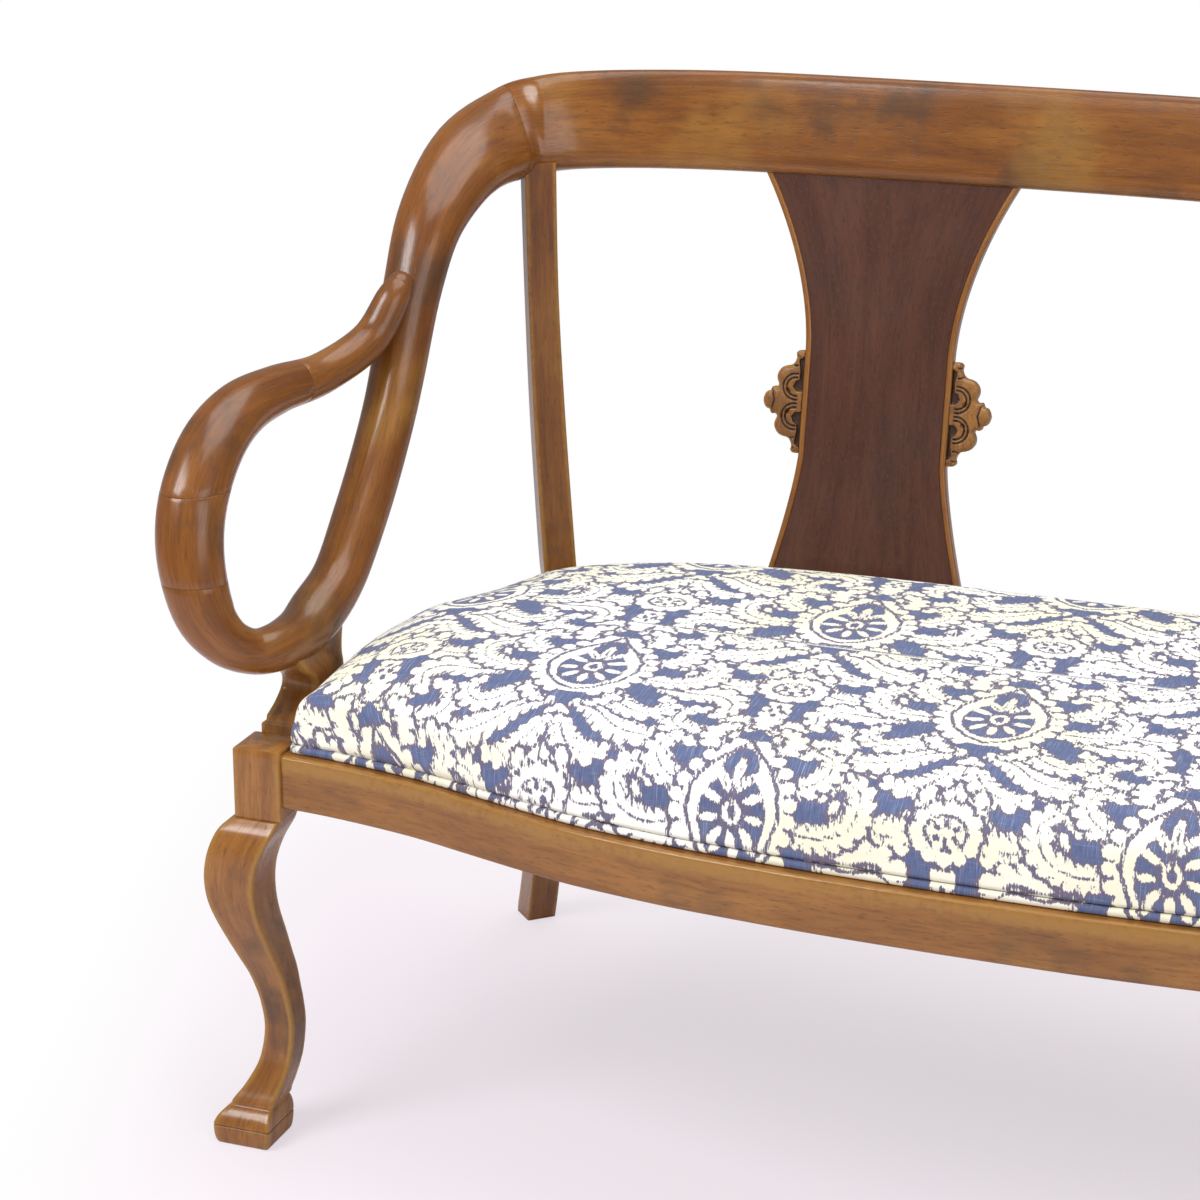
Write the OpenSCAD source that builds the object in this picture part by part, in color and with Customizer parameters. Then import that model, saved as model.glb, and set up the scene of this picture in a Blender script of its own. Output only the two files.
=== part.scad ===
// Cabriole settee with scroll arms, two vase splats and a tight upholstered seat.
// X runs along the length, the front faces -Y, Z is up and the floor is Z = 0.

/* [Seat frame] */
// Distance between the inner faces of the two front leg blocks
seat_w = 1280; // [1000:10:1600]
// Depth of the seat frame, from the front leg block's face to the rear post's middle
seat_d = 518; // [440:2:600]
// Height of the seat rails' top edge above the floor
rail_top = 396; // [340:2:440]
// Height of the seat rails
rail_h = 51; // [44:1:60]
// Thickness of the front rail
front_rail_t = 26; // [20:1:34]
// How far the middle of the front rail bows forward of its ends
front_bow = 89; // [40:1:110]
// Thickness of the side rails
side_rail_t = 56; // [46:1:60]
// Thickness of the rear rail
rear_rail_t = 36; // [30:1:40]
// Side of the triangular corner blocks
corner_block_w = 62; // [40:1:80]

/* [Front legs] */
// Width of the square block at the top of a front leg
block_w = 47; // [40:1:56]
// Height of that block
block_h = 68; // [62:1:80]
// How far the block stands above the rails
block_rise = 4; // [2:1:8]
// How far the knee swings outward on the diagonal, along each axis
knee_out = 20; // [8:1:26]
// How far the pad foot stands outside the block's middle, along X
foot_out = 18; // [0:1:24]
// Height of the pad foot
foot_h = 45; // [36:1:56]

/* [Rear legs] */
// Width of a rear leg and post
post_w = 33; // [28:1:40]
// Turn of the rear posts toward the middle of the seat, in degrees
post_cant = 31; // [20:1:50]
// The same turn at the foot of a rear leg, in degrees
foot_cant = 44; // [20:1:50]
// How far a rear foot kicks back past the seat frame
foot_kick = 66; // [30:1:90]
// How far a rear foot stands outside the post, along X
foot_splay = 56; // [20:1:70]

/* [Back] */
// Height of the crest rail's lower edge at the middle
crest_low = 834; // [780:2:880]
// Height of the crest rail itself, measured on its face
crest_h = 98; // [80:1:110]
// Thickness of the crest rail at the middle
crest_t = 30; // [24:1:36]
// Lean of the back from upright, in degrees
back_lean = 13; // [6:0.5:15]
// How far the crest's ends come forward of its middle
crest_sweep = 105; // [70:1:130]
// Distance from the middle to each end of the crest rail
crest_half = 626; // [520:2:760]

/* [Splats] */
// Distance between the middles of the two splats
splat_pitch = 500; // [380:5:640]
// Width of a splat at its top
splat_top_w = 252; // [180:2:280]
// Width of a splat at its waist
splat_waist_w = 149; // [110:1:170]
// Width of a splat at the seat rail
splat_foot_w = 226; // [170:2:250]
// Thickness of a splat's core
splat_t = 12; // [8:0.5:16]
// Thickness of the veneer on its face
veneer_t = 1.2; // [0.8:0.1:2]
// Width of the light banding along a splat's edges
banding_w = 6; // [4:0.5:9]
// Reach of a carved ear beyond the splat's edge
ear_reach = 40; // [28:1:48]
// Height of a carved ear
ear_h = 102; // [80:1:120]

/* [Arms] */
// How far the scroll of an arm swings outside the front leg's middle
arm_reach = 68; // [50:1:90]
// Height from the leg block's top to the joint of stile and crest
stile_rise = 470; // [420:2:520]
// Half width of the scroll at its fullest
scroll_half = 31; // [24:0.5:36]
// Half width of the stile at its middle
stile_half = 26; // [22:0.5:30]
// Half width of the upper arm near its end
arm_end_half = 17; // [13:0.5:20]

/* [Seat] */
// Height of the seat's crown above the rails
seat_crown = 87; // [60:1:95]
// Height of the seat's upright edge above the rails
seat_edge = 40; // [24:1:46]
// Share of its height that the seat loses toward a back corner
seat_droop_share = 0.75; // [0.3:0.05:0.8]
// Distance from the front rail's face to the fabric
seat_inset = 8; // [5:0.5:14]
// Thickness of the wadded cover over the foam
cover_t = 10; // [6:0.5:14]
// Height of the double welt along the fabric's lower edge
welt_h = 9; // [6:0.5:12]
// How far the welt stands out from the fabric
welt_t = 3; // [2:0.5:6]
// Width of a webbing strap
strap_w = 50; // [35:1:60]
// Thickness of a webbing strap
strap_t = 2; // [1:0.5:3]

/* [Fasteners] */
// Diameter of a corner block screw's shank
screw_d = 5; // [4:0.5:6]
// Diameter of its head
screw_head_d = 10; // [8:0.5:12]
// Length of a corner block screw
screw_l = 68; // [60:1:76]

/* [Hidden] */

// Clearance between soft pieces and their neighbours
soft_gap = 0.4;
// Clearance in a glued joint between curved pieces
joint_gap = 0.15;
// Overrun of a cut past the piece it cuts
cut = 1;
// Points around a swept wooden section
section_n = 16;
// Steps between two control points of a swept path
path_n = 3;

// How far the seat frame's middle sits in front of the whole settee's middle
frame_forward = 23.5;
// How far the rear posts stand inside the front blocks, along X
post_inset = 91;
block_x = seat_w / 2 + block_w / 2;
front_y = -(seat_d / 2 + frame_forward);
block_y = front_y + block_w / 2;
block_top = rail_top + block_rise;
leg_h = block_top - block_h;
post_x = block_x - post_inset;
post_y = front_y + seat_d;
rail_low = rail_top - rail_h;

function lerp(a, b, t) = a + (b - a) * t;
function unit(v) = v / norm(v);
function flat(l) = [for (a = l) for (b = a) b];
function mirror_x(p) = [for (q = p) [-q[0], q[1], q[2]]];
function pow_signed(v, e) = sign(v) * pow(abs(v), e);

// Row of a table, held at its ends
function row(t, i) = t[max(0, min(len(t) - 1, i))];

// Smooth curve through the rows of a table, at u rows from its start
function smooth(t, u) =
    let (i = min(floor(u), len(t) - 2), f = u - i)
    let (a = row(t, i - 1), b = row(t, i), c = row(t, i + 1), d = row(t, i + 2))
    b + f * ((c - a) / 2 + f * (a - 2.5 * b + 2 * c - d / 2
        + f * (1.5 * (b - c) + (d - a) / 2)));

function steps(u0, u1, n) =
    let (m = max(1, round((u1 - u0) * n)))
    [for (i = [0 : m]) lerp(u0, u1, i / m)];

// Signed volume under a set of faces, which tells which way they look
function fan(p, f) = [for (k = [1 : len(f) - 2]) p[f[0]] * cross(p[f[k]], p[f[k + 1]])];
function total(v) = v * [for (a = v) 1];
function looks_out(p, faces) = total([for (f = faces) total(fan(p, f))]) < 0;
function reversed(f) = [for (k = [len(f) - 1 : -1 : 0]) f[k]];

// Closed skin over rings of equal length, with flat ends
module skin(rings) {
    n = len(rings[0]);
    m = len(rings);
    points = flat(rings);
    sides = [for (i = [0 : m - 2], j = [0 : n - 1])
        let (a = i * n + j, b = i * n + (j + 1) % n)
        each [[a, b, b + n], [a, b + n, a + n]]];
    ends = [[for (j = [n - 1 : -1 : 0]) j], [for (j = [0 : n - 1]) (m - 1) * n + j]];
    faces = concat(sides, ends);
    out = looks_out(points, faces);
    polyhedron(points, out ? faces : [for (f = faces) reversed(f)]);
}

// Cross section at u of a path table whose rows hold
// x, y, z, half width, half thickness, fullness and the normal of the wide face
function path_point(t, u) = let (p = smooth(t, u)) [p[0], p[1], p[2]];
function path_way(t, u) =
    let (e = 0.02, last = len(t) - 1)
    unit(path_point(t, min(last, u + e)) - path_point(t, max(0, u - e)));
function path_across(t, u) =
    let (p = smooth(t, u))
    unit(cross(path_way(t, u), [p[6], p[7], p[8]]));
function section(t, u, grow = 0, n = section_n) =
    let (p = smooth(t, u), o = path_point(t, u), w = path_way(t, u))
    let (a = path_across(t, u), b = cross(w, a), e = 2 / p[5])
    [for (k = [0 : n - 1])
        let (c = pow_signed(cos(360 * k / n), e), s = pow_signed(sin(360 * k / n), e))
        o + a * c * (p[3] + grow) + b * s * (p[4] + grow)];

// Back: crest rail, stile and scroll follow one path, from the middle to the tip
crest_lean = [0, sin(back_lean), cos(back_lean)];
crest_face = [0, -cos(back_lean), sin(back_lean)];
arm_face = unit([0.32, -0.88, 0.34]);
rear_rail_y = post_y - rear_rail_t * 0.18;
splat_foot_y = rear_rail_y + rear_rail_t * 0.11;
crest_foot_y = splat_foot_y + (crest_low - rail_top) * tan(back_lean);
crest_mid = [0, crest_foot_y, crest_low] + crest_lean * crest_h / 2;
crest_end = [-crest_half, crest_mid[1] - crest_sweep, block_top + stile_rise];
crest_drop = crest_mid[2] - crest_end[2];
joint_t = 44;
stile_run = crest_end[1] - block_y;

// Shares along the crest: of its half length, sweep, drop, height, thickening; fullness
crest_shares = [
    [0.00, 0.00, 0.00, 1.00, 0.00, 5.0],
    [0.40, 0.09, 0.00, 1.00, 0.00, 5.0],
    [0.64, 0.20, 0.00, 1.00, 0.00, 4.6],
    [0.79, 0.39, 0.02, 0.99, 0.06, 4.2],
    [0.90, 0.62, 0.14, 0.98, 0.30, 3.8],
    [0.96, 0.80, 0.45, 0.97, 0.70, 3.4]];
function crest_row(s) = [
    -s[0] * crest_half, crest_mid[1] - s[1] * crest_sweep,
    crest_mid[2] - s[2] * crest_drop, s[3] * crest_h / 2,
    lerp(crest_t, joint_t, s[4]) / 2, s[5], crest_face[0], crest_face[1], crest_face[2]];

// Widths that the arm's rows follow: crest, stile, scroll and arm end
arm_sizes = [crest_h / 2, stile_half, scroll_half, arm_end_half];
// Shares along the arm: outward of the reach, inward of the step to the crest's end,
// run, rise, which width, of that width, thickness of width, fullness, turn to arm_face
arm_shares = [
    [0.00, 1.00, 1.000, 1.000, 0, 0.94, 0.48, 3.0, 0.4],
    [0.00, 0.55, 0.870, 0.969, 1, 1.58, 0.58, 2.4, 0.8],
    [0.00, 0.31, 0.730, 0.877, 1, 1.28, 0.74, 2.1, 1.0],
    [0.00, 0.23, 0.648, 0.751, 1, 1.10, 0.84, 1.9, 1.0],
    [0.00, 0.20, 0.574, 0.591, 1, 1.02, 0.90, 1.9, 1.0],
    [0.00, 0.20, 0.526, 0.508, 1, 1.00, 0.92, 1.9, 1.0],
    [0.00, 0.20, 0.462, 0.421, 1, 1.00, 0.92, 1.9, 1.0],
    [0.00, 0.20, 0.388, 0.336, 1, 1.00, 0.92, 1.9, 1.0],
    [0.00, 0.17, 0.298, 0.243, 1, 0.98, 0.94, 2.0, 1.0],
    [0.00, 0.09, 0.210, 0.196, 1, 1.02, 0.94, 2.1, 1.0],
    [0.00, 0.00, 0.144, 0.172, 2, 0.78, 1.00, 2.2, 1.0],
    [0.10, 0.00, 0.064, 0.168, 2, 0.71, 1.08, 2.2, 1.0],
    [0.30, 0.00, 0.022, 0.174, 2, 0.68, 1.10, 2.2, 1.0],
    [0.53, 0.00, -0.016, 0.208, 2, 0.76, 1.04, 2.2, 1.0],
    [0.76, 0.00, -0.032, 0.270, 2, 0.90, 0.94, 2.2, 1.0],
    [0.92, 0.00, -0.028, 0.372, 2, 0.98, 0.88, 2.2, 1.0],
    [0.98, 0.00, 0.004, 0.466, 2, 1.00, 0.86, 2.2, 1.0],
    [0.97, 0.00, 0.076, 0.553, 2, 0.96, 0.86, 2.2, 1.0],
    [0.88, 0.00, 0.168, 0.604, 2, 0.86, 0.88, 2.2, 1.0],
    [0.72, 0.00, 0.278, 0.619, 2, 0.73, 0.92, 2.2, 1.0],
    [0.46, 0.00, 0.398, 0.623, 3, 1.15, 0.96, 2.2, 1.0],
    [0.10, 0.00, 0.505, 0.668, 3, 1.06, 0.96, 2.2, 1.0],
    [0.00, 0.22, 0.552, 0.745, 3, 0.94, 0.96, 2.2, 1.0],
    [0.00, 0.31, 0.574, 0.772, 3, 0.72, 1.00, 2.2, 1.0]];
function arm_row(s) =
    let (half = arm_sizes[s[4]] * s[5], n = unit(lerp(crest_face, arm_face, s[8])))
    [-block_x - s[0] * arm_reach + s[1] * (block_x - crest_half),
    block_y + s[2] * stile_run, block_top + s[3] * stile_rise,
    half, half * s[6], s[7], n[0], n[1], n[2]];

crest_first = crest_row(crest_shares[1]);
back_path = concat(
    [[-crest_first[0], for (k = [1 : 8]) crest_first[k]]],
    [for (s = crest_shares) crest_row(s)], [for (s = arm_shares) arm_row(s)]);
// Places of the joints along the path, in rows
at_middle = 1;
at_crest_joint = at_middle + len(crest_shares);
at_scroll_low = at_crest_joint + 14.56;
at_scroll_high = at_crest_joint + 16.28;
at_arm_joint = at_crest_joint + 19.5;
at_tip = at_crest_joint + len(arm_shares) - 1;

// Joints cut on a plane across the room: place, the plane's normal, and the rows before
// and after it over which the sections turn from the path to that plane
back_joints = [[at_crest_joint, [0.47, 0.88, -0.163], 2.6, 1.3], [at_scroll_low, [0, 0, 1], 0.9, 0.9],
    [at_scroll_high, [0, 0, 1], 0.9, 0.9]];
function joint_share(u, j) = max(0, 1 - abs(u - j[0]) / (u < j[0] ? j[2] : j[3]));
function back_section(u, grow = 0) =
    let (o = path_point(back_path, u), w = path_way(back_path, u))
    [for (q = section(back_path, u, grow)) q + w * total([for (j = back_joints)
        joint_share(u, j) == 0 ? 0 : joint_share(u, j) * ((o - q) * j[1]) / (w * j[1])])];

function back_rings(u0, u1, grow = 0) =
    [for (u = steps(u0, u1, path_n)) back_section(u, grow)];

module back_sweep(u0, u1, grow = 0) {
    skin(back_rings(u0, u1, grow));
}

module crest_solid(grow = 0) {
    half = back_rings(at_middle, at_crest_joint, grow);
    skin(concat([for (i = [len(half) - 1 : -1 : 1]) mirror_x(half[i])], half));
}

module crest_rail() {
    color("sienna") crest_solid();
}

module stile() {
    color("sienna") back_sweep(at_crest_joint, at_scroll_low);
}

module scroll() {
    color("saddlebrown") back_sweep(at_scroll_low, at_scroll_high);
}

module upper_arm() {
    color("sienna") back_sweep(at_scroll_high, at_arm_joint);
}

// The tip ends in a round nose and laps onto the stile
module arm_tip_solid() {
    way = path_way(back_path, at_tip);
    mid = path_point(back_path, at_tip);
    last = section(back_path, at_tip);
    nose = smooth(back_path, at_tip)[3];
    rounds = [for (a = [22, 44, 64, 80])
        [for (q = last) mid + (q - mid) * cos(a) + way * nose * sin(a)]];
    skin(concat(back_rings(at_arm_joint, at_tip), rounds));
}

module arm_tip() {
    color("saddlebrown") difference() {
        arm_tip_solid();
        back_sweep(at_crest_joint + 2, at_crest_joint + 7, joint_gap);
    }
}

// Vase shaped bracket between the side rail and the arm, seen from the side
support_w = 38;
support_x = -block_x + block_rise / 2;
support_front_y = block_y + block_w / 2 + joint_gap;
support_l = 122;
plinth_h = 12;
// Shares of the bracket's length and plinth height, up its front and up its back
support_front_shares = [[0.00, 0.00], [0.00, 1.00], [0.08, 1.30], [0.22, 1.90],
    [0.33, 2.80], [0.32, 3.80], [0.20, 4.80], [0.12, 6.20]];
support_back_shares = [[0.97, 6.90], [0.88, 5.40], [0.83, 3.80], [0.85, 2.40],
    [0.92, 1.40], [1.00, 1.00], [1.00, 0.00]];

// Shares of the plinth height and bracket width, up one side of the bracket
support_side_shares = [[0.0, 0.50], [3.4, 0.50], [4.6, 0.44], [6.0, 0.34], [9.0, 0.28]];

module arm_support() {
    function placed(s) = [support_front_y + s[0] * support_l, rail_top + s[1] * plinth_h];
    side = [for (s = support_side_shares)
        [s[1] * support_w, rail_top + s[0] * plinth_h]];
    under_arm = [for (u = [10.6 : -0.6 : 8.2])
        let (p = path_point(back_path, at_crest_joint + u)) [p[1], p[2]]];
    outline = concat([for (s = support_front_shares) placed(s)], under_arm,
        [for (s = support_back_shares) placed(s)]);
    color("saddlebrown") difference() {
        intersection() {
            translate([support_x - support_w / 2, 0, 0])
                rotate([90, 0, 90]) linear_extrude(support_w) polygon(outline);
            translate([support_x, 0, 0]) rotate([90, 0, 0])
                linear_extrude(seat_d, center = true)
                    polygon(concat(side, reversed([for (q = side) [-q[0], q[1]]])));
        }
        back_sweep(at_crest_joint + 6, at_crest_joint + 14, joint_gap);
    }
}

// Front leg: shares of leg height, knee swing and block half width, from the top down
leg_shares = [[1.000, 0.14, 1.00], [0.970, 0.42, 1.15], [0.920, 0.74, 1.13],
    [0.865, 0.92, 1.09], [0.813, 0.95, 1.06], [0.756, 0.86, 1.02], [0.700, 0.66, 0.96],
    [0.633, 0.34, 0.89], [0.566, 0.01, 0.80], [0.512, -0.26, 0.73], [0.452, -0.47, 0.67],
    [0.407, -0.60, 0.65], [0.346, -0.71, 0.64], [0.286, -0.69, 0.65], [0.226, -0.56, 0.69]];
// The pad foot below it, with a groove round its top and a fine one round its middle:
// shares of its height, knee swing and block half width
foot_shares = [[1.22, -0.24, 0.79], [1.00, -0.02, 0.87], [0.90, 0.06, 0.91],
    [0.84, 0.09, 0.90], [0.80, 0.13, 0.94], [0.72, 0.20, 1.05], [0.60, 0.28, 1.16],
    [0.47, 0.33, 1.22], [0.43, 0.33, 1.19], [0.39, 0.33, 1.22], [0.20, 0.32, 1.20],
    [0.06, 0.30, 1.14], [0.00, 0.29, 1.10]];

// Square with eased corners round a leg's middle
function leg_ring(x, y, z, half, ease) = [for (q = [[1, -1], [1, 1], [-1, 1], [-1, -1]])
    let (turn = q[0] * q[1] < 0)
    each [[x + q[0] * (half - (turn ? ease : 0)), y + q[1] * (half - (turn ? 0 : ease)), z],
        [x + q[0] * (half - (turn ? 0 : ease)), y + q[1] * (half - (turn ? ease : 0)), z]]];
leg_ease = 1.6;
leg_steps = 2;

module front_leg() {
    half = block_w / 2;
    shank = [for (s = leg_shares) [s[0] * leg_h, s[1] * knee_out, s[2] * half]];
    foot = [for (s = foot_shares) [s[0] * foot_h, s[1] * knee_out, s[2] * half]];
    all = concat(shank, foot);
    rings = [for (u = steps(0, len(all) - 1, leg_steps)) let (p = smooth(all, u))
        leg_ring(-block_x - p[1] - foot_out * (1 - p[0] / leg_h), block_y - p[1],
            max(0, p[0]), p[2], leg_ease)];
    color("sienna") difference() {
        union() {
            skin(rings);
            leg_block();
        }
        front_screw(joint_gap);
    }
}

module leg_block() {
    half = block_w / 2;
    skin([leg_ring(-block_x, block_y, leg_h, half, leg_ease),
        leg_ring(-block_x, block_y, block_top - leg_ease, half, leg_ease),
        leg_ring(-block_x, block_y, block_top, half - leg_ease, leg_ease)]);
}

// Rear leg and post in one piece: shares of the height, splay and kick below the seat,
// and of width
rear_leg_shares = [[0.00, 1.00, 0.97], [0.08, 0.87, 0.97], [0.17, 0.74, 0.98],
    [0.33, 0.44, 0.99], [0.52, 0.19, 1.00], [0.76, 0.03, 1.00], [1.00, 0.00, 1.00]];
// Shares of the way from the seat to the crest, of the lean over that way, and of width
post_shares = [[0.10, 0.16, 1.02], [0.40, 0.58, 0.98], [0.70, 0.87, 0.93], [1.00, 1.00, 0.96]];
post_place = at_crest_joint - 0.58;
post_fullness = 9;

function cant(share) =
    let (a = lerp(foot_cant, post_cant, min(1, share))) [sin(a), -cos(a), 0];
function post_row(x, y, z, width) =
    let (half = post_w / 2 * width, c = cant(z / rail_top))
    [x, y, z, half, half, post_fullness, c[0], c[1], c[2]];
function post_path() =
    let (c = smooth(back_path, post_place), p = path_point(back_path, post_place))
    let (top = p - path_across(back_path, post_place) * c[3])
    concat(
        [for (s = rear_leg_shares) post_row(-post_x - s[1] * foot_splay,
            post_y + s[1] * foot_kick, s[0] * rail_top, s[2])],
        [for (s = post_shares) post_row(lerp(-post_x, top[0], s[1]),
            lerp(post_y, top[1], s[1]), lerp(rail_top, top[2] + crest_h / 8, s[0]), s[2])]);

module post_solid(grow = 0) {
    path = post_path();
    rings = [for (u = steps(0, len(path) - 1, 2)) section(path, u, grow, 16)];
    intersection() {
        skin(rings);
        translate([-crest_half - post_w * 4, 0, 0])
            cube([post_w * 8 + crest_half, seat_d * 2, crest_low + crest_h]);
    }
}

module rear_leg() {
    color("sienna") difference() {
        post_solid();
        crest_solid(joint_gap);
        rear_screw(joint_gap);
    }
}

// Plan of the seat frame, as outlines in X and Y
bow_shares = [[0.00, 1.00], [0.17, 0.985], [0.31, 0.93], [0.38, 0.89], [0.455, 0.82],
    [0.53, 0.73], [0.61, 0.58], [0.697, 0.40], [0.784, 0.22], [0.87, 0.10], [0.94, 0.03],
    [1.00, 0.00]];
rail_front_y = front_y + block_rise;
function bow_curve(n) = [for (u = steps(0, len(bow_shares) - 1, n)) smooth(bow_shares, u)];
// Left half of the front curve, from the middle out, moved back by an inset
function front_half(reach, inset, n = 2) = [for (s = bow_curve(n))
    [-s[0] * reach, rail_front_y - s[1] * front_bow + inset]];
function mirrored(p) = [for (i = [len(p) - 1 : -1 : 0]) [-p[i][0], p[i][1]]];
function both_halves(p) = concat(p, mirrored(p));

module front_rail_plan() {
    reach = seat_w / 2;
    outer = front_half(reach, 0);
    inner = front_half(reach, front_rail_t);
    polygon(concat(outer, reversed(inner), [for (p = inner) [-p[0], p[1]]],
        reversed([for (p = outer) [-p[0], p[1]]])));
}

side_out_front = block_x + block_w / 2 - block_rise;
side_front_y = block_y + block_w / 2;
side_out_rear = post_x + post_w * 0.57;
side_rear_y = post_y - post_w * 0.17;
function side_out(y) = lerp(side_out_front, side_out_rear,
    (y - side_front_y) / (side_rear_y - side_front_y));

module side_rail_plan() {
    polygon([[-side_out_front, side_front_y], [-side_out_rear, side_rear_y],
        [-side_out_rear + side_rail_t, side_rear_y],
        [-side_out_front + side_rail_t, side_front_y]]);
}

module rear_rail_plan() {
    difference() {
        translate([-post_x, rear_rail_y - rear_rail_t / 2])
            square([2 * post_x, rear_rail_t]);
        side_rail_plan();
        mirror([1, 0]) side_rail_plan();
    }
}

module front_rail() {
    color("peru") translate([0, 0, rail_low])
        linear_extrude(rail_h) front_rail_plan();
}

module side_rail() {
    color("peru") difference() {
        translate([0, 0, rail_low]) linear_extrude(rail_h) side_rail_plan();
        post_solid(joint_gap);
        rear_screw(joint_gap);
    }
}

module rear_rail() {
    color("peru") difference() {
        translate([0, 0, rail_low]) linear_extrude(rail_h) rear_rail_plan();
        for (m = [0, 1]) mirror([m, 0, 0]) {
            post_solid(joint_gap);
            rear_screw(joint_gap);
        }
    }
}

// Corner blocks under the seat, each drawn to its leg by one screw
corner_low = rail_low + rail_h / 9;
corner_t = rail_h / 2;
front_corner = [-side_out_front + side_rail_t, rail_front_y + front_rail_t];
rear_corner = [-side_out_rear + side_rail_t, rear_rail_y - rear_rail_t / 2];
// Shares of the block's side from its corner to the screw's head
head_share = 0.45;

// Triangle with its right angle at a corner of the frame, lapping onto the rails
module corner_plan(at, up, lap) {
    w = corner_block_w;
    translate(at) polygon([[-lap, -up * lap], [w, -up * lap], [w, 0], [0, up * w],
        [-lap, up * w]]);
}

function screw_start(at, up) =
    [at[0], at[1], corner_low + corner_t / 2] + [1, up, 0] * corner_block_w * head_share;
function screw_way(from, to) = unit([to[0], to[1], from[2]] - from);

module screw_solid(from, to, grow) {
    way = screw_way(from, to);
    translate(from) rotate([0, 90, atan2(way[1], way[0])]) {
        cylinder(d = screw_d + 2 * grow, h = screw_l + grow, $fn = 24);
        translate([0, 0, -screw_head_d / 3])
            cylinder(d = screw_head_d + 2 * grow, h = screw_head_d / 3 + grow, $fn = 24);
    }
}

module front_screw(grow = 0) {
    screw_solid(screw_start(front_corner, 1), [-block_x, block_y], grow);
}

module rear_screw(grow = 0) {
    screw_solid(screw_start(rear_corner, -1), [-post_x, post_y], grow);
}

module left_corner_blocks() {
    difference() {
        translate([0, 0, corner_low]) linear_extrude(corner_t) {
            corner_plan(front_corner, 1, front_rail_t * 0.8);
            corner_plan(rear_corner, -1, rear_rail_t * 0.3);
        }
        translate([0, 0, rail_low - cut]) linear_extrude(rail_h + cut) {
            front_rail_plan();
            side_rail_plan();
            rear_rail_plan();
            translate([-block_x - block_w / 2, front_y]) square(block_w);
        }
        post_solid(joint_gap);
        front_screw(joint_gap);
        rear_screw(joint_gap);
    }
}

module corner_blocks() {
    color("burlywood") {
        left_corner_blocks();
        mirror([1, 0, 0]) left_corner_blocks();
    }
}

module corner_screws() {
    color("silver") for (m = [0, 1]) mirror([m, 0, 0]) {
        front_screw();
        rear_screw();
    }
}

// Splats stand on the rear rail and lean back under the crest
splat_x = splat_pitch / 2;
function sweep_at(x) = crest_sweep
    * lookup(x / crest_half, [for (s = crest_shares) [s[0], s[1]]]);
splat_run = crest_foot_y - sweep_at(splat_x) - splat_foot_y;
splat_rise = crest_low - rail_top;
splat_lean = atan(splat_run / splat_rise);
splat_l = norm([splat_run, splat_rise]);
splat_turn = atan((sweep_at(splat_x + splat_waist_w) - sweep_at(splat_x - splat_waist_w))
    / (2 * splat_waist_w));
ear_mid = splat_l / 2;
waist_low = ear_mid - ear_h / 2;
waist_high = ear_mid + ear_h / 2;

function splat_half(v) = splat_waist_w / 2
    + (v < waist_low ? (splat_foot_w - splat_waist_w) / 2 * pow(1 - v / waist_low, 1.35)
    : v > waist_high ? (splat_top_w - splat_waist_w) / 2
        * pow((v - waist_high) / (splat_l - waist_high), 1.85) : 0);
splat_n = 22;
splat_heights = [for (k = [0 : splat_n]) splat_l * (0.5 - cos(180 * k / splat_n) / 2)];

module splat_outline(inset = 0) {
    edge = [for (v = splat_heights) [splat_half(v) - inset, v]];
    head = [splat_top_w / 2 - inset, splat_l + crest_t];
    all = concat(edge, [head]);
    polygon(concat(all, reversed([for (p = all) [-p[0], p[1]]])));
}

// Places flat work on a splat's plane, with its front face forward by an offset
module on_splat(forward, thick) {
    translate([-splat_x, splat_foot_y, rail_top]) rotate([-splat_lean, 0, splat_turn])
        translate([0, -forward, 0]) rotate([90, 0, 0]) linear_extrude(thick) children();
}

module under_crest() {
    difference() {
        children();
        crest_solid(joint_gap);
        translate([-crest_half, 0, rail_top - seat_d]) cube([crest_half, seat_d, seat_d]);
    }
}

module splat() {
    color("saddlebrown") under_crest() on_splat(-splat_t / 2, splat_t) splat_outline();
}

module splat_veneer() {
    color("maroon") under_crest() on_splat(splat_t / 2, veneer_t)
        splat_outline(banding_w + joint_gap);
}

module splat_banding() {
    color("peru") under_crest() on_splat(splat_t / 2, veneer_t * 1.6) difference() {
        splat_outline();
        splat_outline(banding_w);
        translate([0, splat_l + crest_t]) square([splat_top_w, cut], center = true);
        square([splat_foot_w * 2, cut], center = true);
    }
}

// Carved ear: shares of its reach and half height, from its top to the finial's tip
ear_shares = [[0.00, 1.00], [0.16, 1.00], [0.23, 0.94], [0.21, 0.86], [0.25, 0.77],
    [0.33, 0.71], [0.45, 0.69], [0.56, 0.65], [0.65, 0.56], [0.68, 0.46], [0.65, 0.37],
    [0.62, 0.31], [0.67, 0.26], [0.75, 0.27], [0.80, 0.24], [0.82, 0.18], [0.89, 0.17],
    [0.96, 0.11], [1.00, 0.00]];
ear_t = splat_t * 1.15;

function ear_curve() = [for (u = steps(0, len(ear_shares) - 1, 2))
    let (s = smooth(ear_shares, u)) [s[0] * ear_reach, s[1] * ear_h / 2]];

module ear_outline() {
    top = ear_curve();
    polygon(concat(top, reversed([for (p = top) [p[0], -p[1]]])));
}

// Scroll eyes sunk in an ear's face, each with a hollow that runs up beside the splat:
// shares of the reach and half height
hollow_shares = [[0.00, 0.20], [0.15, 0.20], [0.24, 0.29], [0.18, 0.40], [0.09, 0.44],
    [0.08, 0.60], [0.13, 0.82], [0.00, 0.88]];
module ear_pockets() {
    hollow = [for (s = hollow_shares) [s[0] * ear_reach, s[1] * ear_h / 2]];
    for (m = [0, 1]) mirror([0, m]) polygon(hollow);
}

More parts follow.
